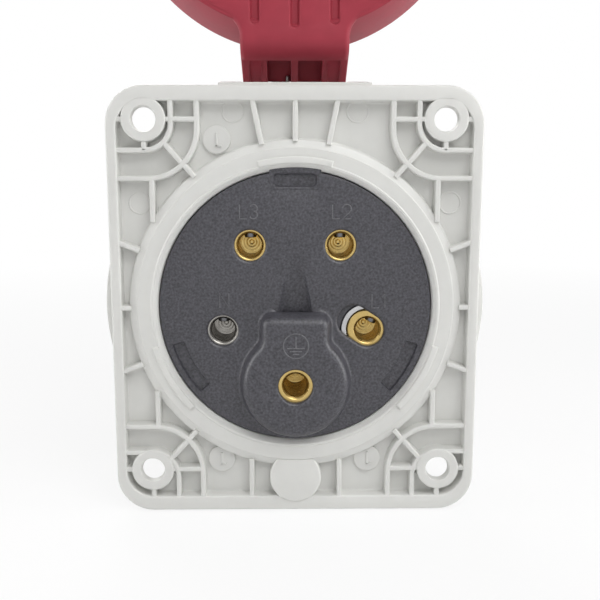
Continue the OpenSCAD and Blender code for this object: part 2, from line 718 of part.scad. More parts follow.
// Red lid with its neck, ribs and grip grooves
groove_top = lid_face_r - groove_in - groove_w / 2;
module lid() color("indianred") placed() opened() difference() {
    half = lid_neck_w / 2;
    union() {
        lid_cup();
        difference() {
            union() {
                neck_skin();
                neck_wall(-half, -half + lid_neck_t);
                neck_wall(half - lid_neck_t, half);
                for (x = [-lid_rib_gap, 0, lid_rib_gap]) neck_wall(x - lid_rib_t / 2, x + lid_rib_t / 2);
            }
            rotate_extrude() polygon([
                [0, lid_inside], [lid_in_face + weld, lid_inside],
                [lid_in + weld, lid_rim], [lid_in + weld, lid_rim + cut], [0, lid_rim + cut]]);
        }
    }
    for (x = [-1, 0, 1]) translate([x * groove_pitch, groove_top, lid_face - cut])
        rotate([0, 0, -90]) linear_extrude(groove_d + cut)
            polygon(slot_points(groove_l, groove_w / 2));
    translate([-half - cut, hinge_v, -hinge_out]) rotate([0, 90, 0])
        cylinder(r = hinge_pin_r + hinge_gap, h = 2 * half + 2 * cut);
}

// Seal inside the lid that closes on the collar's lip
seal_out = lid_in_face - seal_in;
module lid_seal() color("black") placed() opened()
    ring(seal_out - seal_w, seal_out, lid_inside, -collar_l - seal_gap);

// Torsion spring around the hinge pin, between two ribs of the lid's neck.
// One leg stands on the collar, the other presses the lid's neck toward closing.
wire_side_count = 8;
coil_step_count = 18;
spring_end = lid_rib_t / 2 + wire_spring_r + spring_side_gap;
spring_from = spring_end - lid_rib_gap;
spring_to = -spring_end;
coil_sweep = 360 * coil_turns + leg_start - leg_exit;
ring_count = round(coil_turns * coil_step_count);
collar_leg = hinge_v - sqrt(pow(collar_r, 2) - pow(spring_from, 2)) - spring_seat;
function coil_angle(k) = leg_start - coil_sweep * k / ring_count;
// Ring of points around the wire at a coil step, moved along the wire's direction
function wire_ring(k, along) =
    let (a = coil_angle(k), out = [0, cos(a), sin(a)], ahead = [0, sin(a), -cos(a)])
    let (x = spring_from + (spring_to - spring_from) * k / ring_count)
    [for (s = [0 : wire_side_count - 1])
        let (b = 360 * s / wire_side_count)
        [x + wire_spring_r * sin(b), 0, 0] + (coil_r + wire_spring_r * cos(b)) * out + along * ahead];
spring_rings = concat(
    [wire_ring(0, -collar_leg)],
    [for (k = [0 : ring_count]) wire_ring(k, 0)],
    [wire_ring(ring_count, lid_leg)]);
spring_last = len(spring_rings) - 1;
module lid_spring() color("silver") placed() translate([0, hinge_v, -hinge_out]) polyhedron(
    points = [for (r = spring_rings) each r],
    faces = concat(
        [[for (s = [0 : wire_side_count - 1]) s]],
        [for (k = [0 : spring_last - 1], s = [0 : wire_side_count - 1])
            let (n = (s + 1) % wire_side_count, a = k * wire_side_count, b = a + wire_side_count)
            [a + s, b + s, b + n, a + n]],
        [[for (s = [wire_side_count - 1 : -1 : 0]) spring_last * wire_side_count + s]]));

housing();
terminal_plate();
front_carrier();
insert_seal();
contact_l1();
contact_l2();
contact_l3();
contact_n();
contact_pe();
spring_ring_l1();
spring_ring_l2();
spring_ring_l3();
spring_ring_n();
spring_ring_pe();
screw_l1();
screw_l2();
screw_l3();
screw_n();
screw_pe();
terminal_clip();
hinge_pin();
lid();
lid_seal();
lid_spring();
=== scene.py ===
from math import acos, atan2, cos, degrees, hypot, pi, radians, sin, sqrt, tan

import bmesh
import bpy
from mathutils import Matrix, Vector
from mathutils.geometry import delaunay_2d_cdt


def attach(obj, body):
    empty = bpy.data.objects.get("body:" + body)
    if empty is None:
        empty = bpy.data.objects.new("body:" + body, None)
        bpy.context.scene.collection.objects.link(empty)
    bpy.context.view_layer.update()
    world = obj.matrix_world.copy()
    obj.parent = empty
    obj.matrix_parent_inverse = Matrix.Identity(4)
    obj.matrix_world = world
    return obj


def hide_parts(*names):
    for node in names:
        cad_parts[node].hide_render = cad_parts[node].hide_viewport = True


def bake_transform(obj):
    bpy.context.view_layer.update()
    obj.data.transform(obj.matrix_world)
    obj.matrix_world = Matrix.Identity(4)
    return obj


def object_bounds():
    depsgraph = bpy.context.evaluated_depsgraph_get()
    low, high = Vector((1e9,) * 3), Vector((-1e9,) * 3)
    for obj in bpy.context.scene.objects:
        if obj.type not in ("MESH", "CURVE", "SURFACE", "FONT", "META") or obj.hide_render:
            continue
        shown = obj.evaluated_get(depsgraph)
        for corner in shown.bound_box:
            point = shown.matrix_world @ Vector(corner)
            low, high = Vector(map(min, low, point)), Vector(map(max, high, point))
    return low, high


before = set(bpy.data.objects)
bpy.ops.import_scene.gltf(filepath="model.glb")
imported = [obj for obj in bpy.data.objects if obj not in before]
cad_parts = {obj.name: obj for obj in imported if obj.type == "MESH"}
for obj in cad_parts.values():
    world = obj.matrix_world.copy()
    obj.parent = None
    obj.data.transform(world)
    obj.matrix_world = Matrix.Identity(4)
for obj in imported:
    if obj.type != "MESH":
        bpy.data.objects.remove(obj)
cad_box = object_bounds()

# Pieces are drawn in millimetres as seen from behind the panel: u to the right, v up, w to the rear.
MM = 0.001
FROM_BEHIND = Matrix(((-1, 0, 0, 0), (0, 0, 1, 0), (0, 1, 0, 0), (0, 0, 0, 1)))
TINY = 1e-6

# Flange
FLANGE_W, FLANGE_H, FLANGE_UP = 89.0, 104.0, 0.6
FLANGE_FRONT, FLOOR = -5.5, -3.3
BELOW_FLOOR = FLOOR - 0.03
RIM_SIDE, RIM_END = 2.6, 3.7
HOLE_U, HOLE_V, HOLE_UP = 35.5, 42.75, 2.0
HOLES = [(su * HOLE_U, HOLE_UP + sv * HOLE_V) for su in (-1, 1) for sv in (-1, 1)]
HOLE_R, LEAD_IN, LEAD_IN_END = 2.75, 0.3, -1.5
BOSS_R, HEAD_R, HEAD_SEAT = 5.25, 4.4, -2.0
# Ring, collar and hinge
RING_R, BORE_R, COLLAR_IN, COLLAR_R = 40.25, 33.15, 32.6, 36.8
COLLAR_FLOOR, COLLAR_END = -14.2, -48.0
HINGE_V, HINGE_W = 54.2, -32.4
HINGE_EYE_R = 2.6
# Insert
PLATE_R, FACE, PLATE_FRONT = 32.9, -1.0, -10.2
CARRIER_R, CARRIER_FRONT = 27.6, -45.0
PITCH_R, SHOULDER, SLEEVE_TIP = 18.6, -14.0, -43.0
CONTACTS = ("l1", "l2", "l3", "n", "pe")
ANGLES = dict(l1=-18, l2=54, l3=126, n=198, pe=270)
POCKET_GAP = 0.2
PIN_PLAY = 0.35
SCREW_W, SCREW_TILT = -6.0, dict(l1=28.0)
# Lid, drawn closed and turned open about the hinge
LID_FACE, LID_RIM, LID_FACE_R, LID_R, LID_IN = -53.8, -39.8, 41.8, 45.5, 43.2
LID_INSIDE = -51.3
NECK_HALF, BEND_V = 13.4, 43.2
BEND_R, BEND_TURN = 5.6, 64.0
BEND_L = BEND_R * radians(BEND_TURN)


def centre(name):
    a = radians(ANGLES[name])
    return PITCH_R * cos(a), PITCH_R * sin(a)


def contact_radii(name):
    """Radii of a contact's pin bore, its sleeve and its body."""
    return (4.05, 5.3, 5.6) if name == "pe" else (3.05, 4.3, 5.0)


def contact_rear(name):
    return 2.5 if name == "pe" else -2.5


def behind(u, v, w):
    return Vector((-u, w, v)) * MM


def opened(u, v, w):
    return behind(u, 2 * HINGE_V - v, 2 * HINGE_W - w)


# Outlines

def arc(x, y, r, start, turn, steps):
    turns = [radians(start + turn * k / steps) for k in range(steps + 1)]
    return [(x + r * cos(t), y + r * sin(t)) for t in turns]


def circle(x, y, r, steps):
    return arc(x, y, r, 0, 360, steps)[:-1]


def rounded_box(w, h, r, steps=8, x=0.0, y=0.0):
    a, b = w / 2 - r, h / 2 - r
    corners = ((a, b, 0), (-a, b, 90), (-a, -b, 180), (a, -b, 270))
    return [p for cx, cy, s in corners for p in arc(x + cx, y + cy, r, s, 90, steps)]


def band(x, y, r_in, r_out, start, turn, steps):
    """Outline of a strip bent about a point."""
    return arc(x, y, r_out, start, turn, steps) + arc(x, y, r_in, start + turn, -turn, steps)


def slot_loop(x, y, length, r, direction, steps=24):
    """Outline of a slot with round ends, from a point along a direction."""
    d = radians(direction)
    far = (x + length * cos(d), y + length * sin(d))
    return arc(x, y, r, direction + 90, 180, steps) + arc(*far, r, direction - 90, 180, steps)


def rounded(corners, steps=6, closed=True):
    """A line through corners of x, y and radius. A corner without a radius stays sharp."""
    longest_cut = 0.49
    out, n = [], len(corners)
    for i, (x, y, *radius) in enumerate(corners):
        if not radius or (not closed and i in (0, n - 1)):
            out.append((x, y))
            continue
        here = Vector((x, y))
        a, b = Vector(corners[i - 1][:2]) - here, Vector(corners[(i + 1) % n][:2]) - here
        reach = longest_cut * min(a.length, b.length)
        a, b = a.normalized(), b.normalized()
        half = acos(max(-1.0, min(1.0, a.dot(b)))) / 2
        cut = min(radius[0] / tan(half), reach)
        r = cut * tan(half)
        mid = here + (a + b).normalized() * (r / sin(half))
        first, last = here + a * cut - mid, here + b * cut - mid
        start = atan2(first.y, first.x)
        turn = (atan2(last.y, last.x) - start + pi) % (2 * pi) - pi
        out += arc(mid.x, mid.y, r, degrees(start), degrees(turn), steps)
    return out


def round_ends(points, r):
    """An arc's points as corners, of which only the two ends are rounded."""
    last = len(points) - 1
    return [(x, y, r) if i in (0, last) else (x, y) for i, (x, y) in enumerate(points)]


def neck_fillet(r, half, hollow, steps, y=0.0):
    """Arc from a disc into the right side of its neck, and the angle at which it leaves the disc."""
    fill = sqrt((r + hollow) ** 2 - (half + hollow) ** 2)
    lean = degrees(atan2(fill, half + hollow))
    return arc(half + hollow, y + fill, hollow, 180 + lean, -lean, steps), lean


def mirrored(points):
    return [(-x, y) for x, y in reversed(points)]


def moved_in(points, distance):
    """The outline moved to its left, which is inward where it runs anticlockwise."""
    mitre_limit = 0.6
    out, n = [], len(points)
    for i, p in enumerate(points):
        a = Vector(p) - Vector(points[i - 1])
        b = Vector(points[(i + 1) % n]) - Vector(p)
        left_a, left_b = Vector((-a.y, a.x)).normalized(), Vector((-b.y, b.x)).normalized()
        m = left_a + left_b
        m = m / max(mitre_limit, m.length_squared / 2) if m.length > TINY else left_a
        out.append((p[0] + m.x * distance, p[1] + m.y * distance))
    return out


# Skins

SHARP_EDGE, SHARP_CUT = 38, 32


class Skin:
    """Collects the skins of one piece, in millimetres seen from behind."""

    def __init__(self):
        self.points, self.faces, self.flat = [], [], []

    def loop(self, points):
        start = len(self.points)
        self.points.extend(points)
        return list(range(start, len(self.points)))

    def face(self, ids, flat=False):
        ids = [v for i, v in enumerate(ids) if v != ids[i - 1]]
        if len(ids) > 2:
            self.faces.append(ids)
            self.flat.append(flat)

    def bridge(self, a, b, closed=True):
        if len(a) == 1:
            a = a * len(b)
        if len(b) == 1:
            b = b * len(a)
        n = len(a)
        for i in range(n if closed else n - 1):
            j = (i + 1) % n
            self.face([a[i], a[j], b[j], b[i]])

    def stack(self, loops, closed=True):
        for a, b in zip(loops, loops[1:]):
            self.bridge(a, b, closed)

    def walls(self, levels):
        """Joins outlines, each given with its height. Returns the first and the last loop."""
        loops = [self.loop([(x, y, w) for x, y in points]) for points, w in levels]
        self.stack(loops)
        return loops[0], loops[-1]

    def cap(self, *loops):
        """A flat face inside the first loop, with the others as holes."""
        ids = [i for loop in loops for i in loop]
        spans = []
        for axis in range(3):
            along = [self.points[i][axis] for i in ids]
            spans.append(max(along) - min(along))
        level = spans.index(min(spans))
        across = [a for a in range(3) if a != level]
        flat = [Vector([self.points[i][a] for a in across]) for i in ids]
        rings, start = [], 0
        for loop in loops:
            ring = list(range(start, start + len(loop)))
            area = sum(flat[i].cross(flat[j]) for i, j in zip(ring, ring[1:] + ring[:1]))
            rings.append(ring if area > 0 else ring[::-1])
            start += len(loop)
        places, _, faces, source, _, inside = delaunay_2d_cdt(flat, [], rings, 1, 1e-9)
        corners = []
        for place, origin in zip(places, source):
            if origin:
                corners.append(ids[origin[0]])
                continue
            point = [self.points[ids[0]][level]] * 3
            point[across[0]], point[across[1]] = place
            corners += self.loop([tuple(point)])
        for face, owners in zip(faces, inside):
            if list(owners) == [0]:
                self.face([corners[i] for i in face], True)

    def turned(self, profile, to, steps=96, closed=False, radius=None):
        """A profile of radius and height, turned about an axis."""
        rings = []
        for r, z in profile:
            if r < TINY:
                rings.append(self.loop([to(0, 0, z)]))
                continue
            ring = []
            for k in range(steps):
                t = 2 * pi * k / steps
                here = radius(r, z, t) if radius else r
                ring.append(to(here * cos(t), here * sin(t), z))
            rings.append(self.loop(ring))
        self.stack(rings)
        if closed:
            self.bridge(rings[-1], rings[0])
        return rings

    def slab(self, loops, low, high, roll, to, steps=4):
        """An outline with holes, made thick, with rolled edges."""
        roll_low, roll_high = roll if isinstance(roll, tuple) else (roll, roll)
        angles = [radians(90 * k / steps) for k in range(steps + 1)]
        stations = [(roll_low * (1 - cos(t)), low + roll_low * (1 - sin(t))) for t in reversed(angles)]
        stations += [(roll_high * (1 - cos(t)), high - roll_high * (1 - sin(t))) for t in angles]
        bottoms, tops = [], []
        for outline in loops:
            rings = []
            for inset, z in stations:
                rings.append(self.loop([to(x, y, z) for x, y in moved_in(outline, inset)]))
            self.stack(rings)
            bottoms.append(rings[0])
            tops.append(rings[-1])
        self.cap(*bottoms)
        self.cap(*tops)

    def made(self, name, material, place=behind):
        mesh = bpy.data.meshes.new(name)
        mesh.from_pydata([place(*p) for p in self.points], [], self.faces)
        mesh.polygons.foreach_set("use_smooth", [not f for f in self.flat])
        return finished(mesh, name, material)


def added(name, data):
    thing = bpy.data.objects.new(name, data)
    bpy.context.scene.collection.objects.link(thing)
    return thing


def evaluated_mesh(piece):
    """The piece's mesh with its modifiers applied."""
    return bpy.data.meshes.new_from_object(piece.evaluated_get(bpy.context.evaluated_depsgraph_get()))


def finished(mesh, name, material):
    """Turns faces outward, marks hard edges and makes the piece's object."""
    form = bmesh.new()
    form.from_mesh(mesh)
    bmesh.ops.recalc_face_normals(form, faces=form.faces)
    form.to_mesh(mesh)
    form.free()
    mesh.set_sharp_from_angle(angle=radians(SHARP_EDGE))
    if not mesh.materials:
        mesh.materials.append(material)
    return added(name, mesh)


def along_w(u, v):
    return lambda x, y, z: (u + x, v + y, z)


ON_AXIS = along_w(0, 0)


def hinge_turn(x, y, z):
    return z, HINGE_V + x, HINGE_W + y


def sideways(v, w, u):
    return u, v, w


def cut_out(piece, *cutters):
    for cutter in cutters:
        tool = piece.modifiers.new("cut", "BOOLEAN")
        tool.operation, tool.solver, tool.object = "DIFFERENCE", "EXACT", cutter
    mesh = evaluated_mesh(piece)
    piece.modifiers.clear()
    piece.data = mesh
    mesh.set_sharp_from_angle(angle=radians(SHARP_CUT))
    for cutter in cutters:
        bpy.data.objects.remove(cutter)
    return piece


def lathe(name, material, profile, to=ON_AXIS, steps=128, closed=True, place=behind):
    """A piece made by turning one profile."""
    skin = Skin()
    skin.turned(profile, to, steps, closed)
    return skin.made(name, material, place)


def slot_cutter(half_l, half_w, low, high, to, material):
    outline = [(-half_l, -half_w), (half_l, -half_w), (half_l, half_w), (-half_l, half_w)]
    skin = Skin()
    loops = [skin.loop([to(x, y, z) for x, y in outline]) for z in (low, high)]
    skin.stack(loops)
    for loop in loops:
        skin.cap(loop)
    return skin.made("slot", material)


def fitted(piece, body, slot, *nodes):
    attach(piece, body)
    if nodes:
        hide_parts(*nodes)


# Nodes

COLOUR, VALUE, COUNT = "NodeSocketColor", "NodeSocketFloat", "NodeSocketInt"
GEOMETRY, MATERIAL = "NodeSocketGeometry", "NodeSocketMaterial"


def feed(tree, sockets, values):
    """Gives sockets plain values or links."""
    for label, value in values.items():
        if isinstance(value, bpy.types.NodeSocket):
            tree.links.new(value, sockets[label])
        else:
            sockets[label].default_value = value


def node(tree, kind, inputs, **settings):
    """Adds a node with plain values or links in its inputs. Returns its outputs."""
    made = tree.nodes.new(kind)
    for label, value in settings.items():
        setattr(made, label, value)
    feed(tree, made.inputs, inputs)
    return made.outputs


def node_group(name, kind, inputs, outputs):
    """A new group of nodes, and the sockets that it is given."""
    tree = bpy.data.node_groups.new(name, kind)
    for in_out, sockets in (("INPUT", inputs), ("OUTPUT", outputs)):
        for label, socket in sockets.items():
            tree.interface.new_socket(label, in_out=in_out, socket_type=socket)
    return tree, node(tree, "NodeGroupInput", {})


def maths(tree, operation, a, b):
    return node(tree, "ShaderNodeMath", {0: a, 1: b}, operation=operation)[0]


def mapped(tree, value, source, target):
    bounds = dict(zip(("From Min", "From Max", "To Min", "To Max"), (*source, *target)))
    return node(tree, "ShaderNodeMapRange", {"Value": value, **bounds})[0]


def place_on(tree, kind):
    return node(tree, "ShaderNodeTexCoord", {})[kind]


# Sweeps along a path

def sweep_tree(name, sizes, profile):
    """A tree that sweeps a profile along the piece's path. profile(tree, sizes) returns its curve."""
    inputs = {"Path": GEOMETRY, **sizes, "Finish": MATERIAL}
    tree, given = node_group(name, "GeometryNodeTree", inputs, {"Piece": GEOMETRY})
    path = node(tree, "GeometryNodeMeshToCurve", {"Mesh": given["Path"]})[0]
    path = node(tree, "GeometryNodeSetCurveNormal", {"Curve": path}, mode="Z_UP")[0]
    piece = node(tree, "GeometryNodeCurveToMesh", {
        "Curve": path, "Profile Curve": profile(tree, given), "Fill Caps": True})[0]
    for kind in ("GeometryNodeSetShadeSmooth", "GeometryNodeRealizeInstances"):
        piece = node(tree, kind, {"Geometry": piece})[0]
    piece = node(tree, "GeometryNodeSetMaterial", {"Geometry": piece, "Material": given["Finish"]})[0]
    node(tree, "NodeGroupOutput", {"Piece": piece})
    return tree


def rib_profile(tree, sizes):
    """A rib's section: a wide foot, a narrow rounded top, hanging down from its path."""
    shape = node(tree, "GeometryNodeCurvePrimitiveQuadrilateral", {
        "Bottom Width": sizes["Top width"], "Top Width": sizes["Foot width"], "Height": sizes["Height"],
        "Offset": 0.0}, mode="TRAPEZOID")[0]
    drop = node(tree, "ShaderNodeCombineXYZ", {"Y": maths(tree, "MULTIPLY", sizes["Height"], 0.5)})[0]
    shape = node(tree, "GeometryNodeTransform", {"Geometry": shape, "Translation": drop})[0]
    return node(tree, "GeometryNodeFilletCurve", {
        "Curve": shape, "Radius": sizes["Edge radius"], "Count": 3, "Limit Radius": True}, mode="POLY")[0]


def wire_profile(tree, sizes):
    return node(tree, "GeometryNodeCurvePrimitiveCircle", {
        "Resolution": sizes["Sides"], "Radius": sizes["Wire radius"]})[0]


RIB_TREE = sweep_tree("rib_along_path", {
    "Top width": VALUE, "Foot width": VALUE, "Height": VALUE, "Edge radius": VALUE}, rib_profile)
WIRE_TREE = sweep_tree("wire_along_path", {"Wire radius": VALUE, "Sides": COUNT}, wire_profile)


def swept(name, tree, paths, material, **sizes):
    """Sweeps a tree's profile along paths, and makes the piece from the plain mesh."""
    points, edges = [], []
    for path in paths:
        start = len(points)
        points.extend(Vector(p) * MM for p in path)
        edges.extend((start + i, start + i + 1) for i in range(len(path) - 1))
    mesh = bpy.data.meshes.new(name)
    mesh.from_pydata(points, edges, [])
    carrier = added(name, mesh)
    sweep = carrier.modifiers.new("sweep", "NODES")
    sweep.node_group = tree
    values = {label.replace("_", " "): size for label, size in sizes.items()}
    values["Finish"] = material
    for item in tree.interface.items_tree:
        if item.in_out == "INPUT" and item.name in values:
            sweep[item.identifier] = values[item.name]
    result = evaluated_mesh(carrier)
    bpy.data.objects.remove(carrier)
    result.transform(FROM_BEHIND)
    return finished(result, name, material)


# Finishes

GLOSS = {"Gloss low": VALUE, "Gloss high": VALUE}
SURFACE = {"Colour": COLOUR, "Roughness": VALUE, "Height": VALUE}
FLOW_SCALE, FLOW_TINT, CLOUD_RELIEF = 26.0, (0.975, 1.025), 0.4
RING_STRETCH, RING_TINT = (0.02, 1.0, 0.02), (0.86, 1.08)
STAIN_SCALE, STAIN_SHARE = 420.0, (0.0, 0.55)


def noise(tree, scale, detail, place=None):
    if place is None:
        place = place_on(tree, "Object")
    return node(tree, "ShaderNodeTexNoise", {"Vector": place, "Scale": scale, "Detail": detail})["Fac"]


def spread(tree, value, low, high):
    """Maps the usual span of a noise onto a range."""
    return mapped(tree, value, (0.3, 0.7), (low, high))


def tinted(tree, colour, factor):
    """A colour made lighter or darker by a factor."""
    return node(tree, "ShaderNodeVectorMath", {0: colour, "Scale": factor}, operation="SCALE")[0]


def uneven_gloss(tree, given, a, b):
    """Roughness that follows the mean of two noises."""
    mean = maths(tree, "MULTIPLY", maths(tree, "ADD", a, b), 0.5)
    return spread(tree, mean, given["Gloss low"], given["Gloss high"])


def moulded_grain():
    """Cloudy colour, uneven gloss and fine grain of moulded plastic."""
    tree, given = node_group("moulded_grain", "ShaderNodeTree", {
        "Colour": COLOUR, "Mottle": VALUE, "Mottle scale": VALUE, "Grain scale": VALUE, **GLOSS}, SURFACE)
    cloud, flow = noise(tree, given["Mottle scale"], 4.0), noise(tree, FLOW_SCALE, 3.0)
    fine = noise(tree, given["Grain scale"], 5.0)
    low, high = (maths(tree, way, 1.0, given["Mottle"]) for way in ("SUBTRACT", "ADD"))
    shade = maths(tree, "MULTIPLY", spread(tree, cloud, low, high), spread(tree, flow, *FLOW_TINT))
    node(tree, "NodeGroupOutput", {
        "Colour": tinted(tree, given["Colour"], shade), "Roughness": uneven_gloss(tree, given, cloud, fine),
        "Height": maths(tree, "ADD", fine, maths(tree, "MULTIPLY", cloud, CLOUD_RELIEF))})
    return tree


def turned_marks():
    """Fine rings that a cutting tool leaves around a turned piece, with faint stains."""
    tree, given = node_group("turned_marks", "ShaderNodeTree", {
        "Colour": COLOUR, "Stain": COLOUR, "Ring scale": VALUE, **GLOSS}, SURFACE)
    place = node(tree, "ShaderNodeMapping", {"Vector": place_on(tree, "Object"), "Scale": RING_STRETCH})[0]
    rings, stains = noise(tree, given["Ring scale"], 3.0, place), noise(tree, STAIN_SCALE, 4.0)
    mix = node(tree, "ShaderNodeMix", {
        "Factor": spread(tree, stains, *STAIN_SHARE), "B": given["Stain"],
        "A": tinted(tree, given["Colour"], spread(tree, rings, *RING_TINT))}, data_type="RGBA")
    node(tree, "NodeGroupOutput", {
        "Colour": mix["Result"], "Roughness": uneven_gloss(tree, given, rings, stains), "Height": rings})
    return tree


GRAIN, TURNING = moulded_grain(), turned_marks()


def finish(name, group, values, bump, depth, metallic=0.0, specular=0.5):
    """A material whose colour, gloss and relief come from a group of nodes."""
    made = bpy.data.materials.new(name)
    made.use_nodes = True
    tree = made.node_tree
    effect = node(tree, "ShaderNodeGroup", values, node_tree=group)
    relief = node(tree, "ShaderNodeBump", {
        "Strength": bump, "Distance": depth * MM, "Height": effect["Height"]})
    feed(tree, tree.nodes["Principled BSDF"].inputs, {
        "Base Color": effect["Colour"], "Roughness": effect["Roughness"], "Normal": relief[0],
        "Metallic": metallic, "Specular IOR Level": specular})
    return made


def plastic(name, colour, mottle, mottle_size, gloss, bump, grain_size=0.25, depth=0.02, specular=0.5):
    return finish(name, GRAIN, {
        "Colour": (*colour, 1.0), "Mottle": mottle, "Mottle scale": 1 / (mottle_size * MM),
        "Grain scale": 1 / (grain_size * MM), "Gloss low": gloss[0], "Gloss high": gloss[1]},
        bump, depth, specular=specular)


def metal(name, colour, stain, gloss, bump, ring_size=0.12, depth=0.04):
    return finish(name, TURNING, {
        "Colour": (*colour, 1.0), "Stain": (*stain, 1.0), "Ring scale": 1 / (ring_size * MM),
        "Gloss low": gloss[0], "Gloss high": gloss[1]}, bump, depth, metallic=1.0)


GREY = plastic("grey_moulding", (0.70, 0.70, 0.675), mottle=0.012, mottle_size=3.0, gloss=(0.34, 0.46),
               bump=0.12)
DARK = plastic("dark_insert", (0.060, 0.059, 0.069), mottle=0.5, mottle_size=0.55, gloss=(0.31, 0.45),
               bump=0.2, grain_size=0.35, depth=0.04)
# Lighter copy of the dark plastic for the marks: partly wear, partly painted highlight on the raised lines'
# edges.
MARKS_WORN_AND_HIGHLIT = plastic("marks_wear_and_painted_highlight", (0.13, 0.13, 0.14), mottle=0.3, mottle_size=0.5, gloss=(0.36, 0.5),
                 bump=0.3)
RED = plastic("red_lid", (0.345, 0.044, 0.064), mottle=0.05, mottle_size=4.0, gloss=(0.36, 0.44),
              bump=0.03, grain_size=1.2, specular=0.16)
RUBBER = plastic("black_rubber", (0.022, 0.022, 0.024), mottle=0.15, mottle_size=0.8, gloss=(0.6, 0.8),
                 bump=0.4)
BRASS = metal("turned_brass", (0.64, 0.475, 0.19), stain=(0.46, 0.325, 0.115), gloss=(0.2, 0.34), bump=0.6)
NICKEL = metal("plated_nickel", (0.40, 0.385, 0.36), stain=(0.28, 0.265, 0.245), gloss=(0.2, 0.34), bump=0.6)
STEEL = metal("zinc_steel", (0.62, 0.63, 0.64), stain=(0.45, 0.45, 0.45), gloss=(0.18, 0.36), bump=0.4)
# Painted shade: the clamp screws are coloured dark to stand for the shade inside the wire bores.
SCREW_DARK_FOR_SHADE = metal("screw_painted_dark_for_bore_shade", (0.20, 0.20, 0.21), stain=(0.12, 0.12, 0.12), gloss=(0.22, 0.4), bump=0.4)
CLIP_PLATE = metal("tinned_clip", (0.60, 0.60, 0.61), stain=(0.4, 0.4, 0.4), gloss=(0.2, 0.36), bump=0.2)


# Camera, light and stage

CAMERA_PLACE, CAMERA_LOOK = (0.00149, 0.19061, 0.03200), (-0.01346, -0.98778, -0.15525)
LENS, SENSOR_W, NEAREST_SEEN = 48.0, 36.0, 0.01
LAMP_AIM = Vector((0.0, 0.0, 0.01))
# Each lamp's name, place, width, height and power
LAMPS = (
    ("key", (-0.14, 0.26, 0.34), 0.3, 0.3, 1.10),
    ("behind_camera", (0.05, 0.80, 0.10), 0.6, 0.6, 0.48),
    ("left", (0.30, 0.26, 0.24), 0.16, 0.16, 0.1),
    ("left_strip", (0.32, 0.035, 0.04), 0.1, 0.4, 0.6),
    ("right_strip", (-0.32, 0.035, 0.04), 0.1, 0.4, 0.7),
    ("front", (0.30, -0.80, 0.50), 0.7, 0.7, 3.6))
AMBIENT, WHITE = 0.2, 1.0
# Share of the way to the rear over which the backdrop dims for shining faces, and its two levels
ROOM_SPAN, ROOM_LEVELS = (0.45, 0.95), (1.0, 0.35)
# Distances over which the paper's own white takes over from its shadow, and the shares of white there
FADE_SPAN, FADE_SHARES = (0.12, 0.6), (0.8, 1.0)
PAPER_HALF, PAPER_GAP = 3.0, 0.0002
PAPER_COLOUR, PAPER_ROUGHNESS = (0.9, 0.9, 0.9, 1.0), 0.9


def facing(direction):
    return Vector(direction).to_track_quat("-Z", "Y").to_euler()


def camera():
    scene = bpy.context.scene
    scene.view_settings.view_transform = "Standard"
    eye = added("camera", bpy.data.cameras.new("camera"))
    eye.data.lens, eye.data.sensor_width, eye.data.clip_start = LENS, SENSOR_W, NEAREST_SEEN
    eye.location, eye.rotation_euler = CAMERA_PLACE, facing(CAMERA_LOOK)
    scene.camera = eye


def lamps():
    for name, place, width, height, power in LAMPS:
        lamp = bpy.data.lights.new(name, "AREA")
        lamp.shape, lamp.size, lamp.size_y, lamp.energy = "RECTANGLE", width, height, power
        thing = added(name, lamp)
        thing.location, thing.rotation_euler = place, facing(LAMP_AIM - Vector(place))


def rays(tree, first, *others):
    """1 for the named kinds of rays, and 0 for all others."""
    kinds = node(tree, "ShaderNodeLightPath", {})
    found = kinds["Is " + first + " Ray"]
    for kind in others:
        found = maths(tree, "MAXIMUM", found, kinds["Is " + kind + " Ray"])
    return found


def backdrop():
    """White for the camera, weak as a light. Shining faces see it dimmer on the side of the camera."""
    world = bpy.data.worlds.new("studio")
    world.use_nodes = True
    bpy.context.scene.world = world
    tree = world.node_tree
    toward = node(tree, "ShaderNodeSeparateXYZ", {0: place_on(tree, "Generated")})["Y"]
    shine = maths(tree, "MULTIPLY", rays(tree, "Glossy"), mapped(tree, toward, ROOM_SPAN, ROOM_LEVELS))
    seen = maths(tree, "MAXIMUM", rays(tree, "Camera", "Transmission"), shine)
    feed(tree, tree.nodes["Background"].inputs, {
        "Color": (1.0, 1.0, 1.0, 1.0), "Strength": mapped(tree, seen, (0.0, 1.0), (AMBIENT, WHITE))})


def white_paper():
    """Paper that shows its shadow near the part, and farther off fades to the white backdrop."""
    paper = bpy.data.materials.new("white_paper")
    paper.use_nodes = True
    tree = paper.node_tree
    matte = tree.nodes["Principled BSDF"]
    feed(tree, matte.inputs, {"Base Color": PAPER_COLOUR, "Roughness": PAPER_ROUGHNESS})
    glow = node(tree, "ShaderNodeEmission", {"Strength": WHITE})
    away = node(tree, "ShaderNodeVectorMath", {0: place_on(tree, "Object")}, operation="LENGTH")["Value"]
    fade = mapped(tree, away, FADE_SPAN, FADE_SHARES)
    white = maths(tree, "MULTIPLY", rays(tree, "Camera", "Glossy", "Transmission"), fade)
    mix = node(tree, "ShaderNodeMixShader", {"Fac": white, 1: matte.outputs[0], 2: glow[0]})
    feed(tree, tree.nodes["Material Output"].inputs, {"Surface": mix[0]})
    return paper


def ground():
    mesh = bpy.data.meshes.new("floor")
    z = cad_box[0][2] - PAPER_GAP
    corners = [(x * PAPER_HALF, y * PAPER_HALF, z) for x, y in ((-1, -1), (1, -1), (1, 1), (-1, 1))]
    mesh.from_pydata(corners, [], [(0, 1, 2, 3)])
    mesh.materials.append(white_paper())
    added("floor", mesh)


# Housing

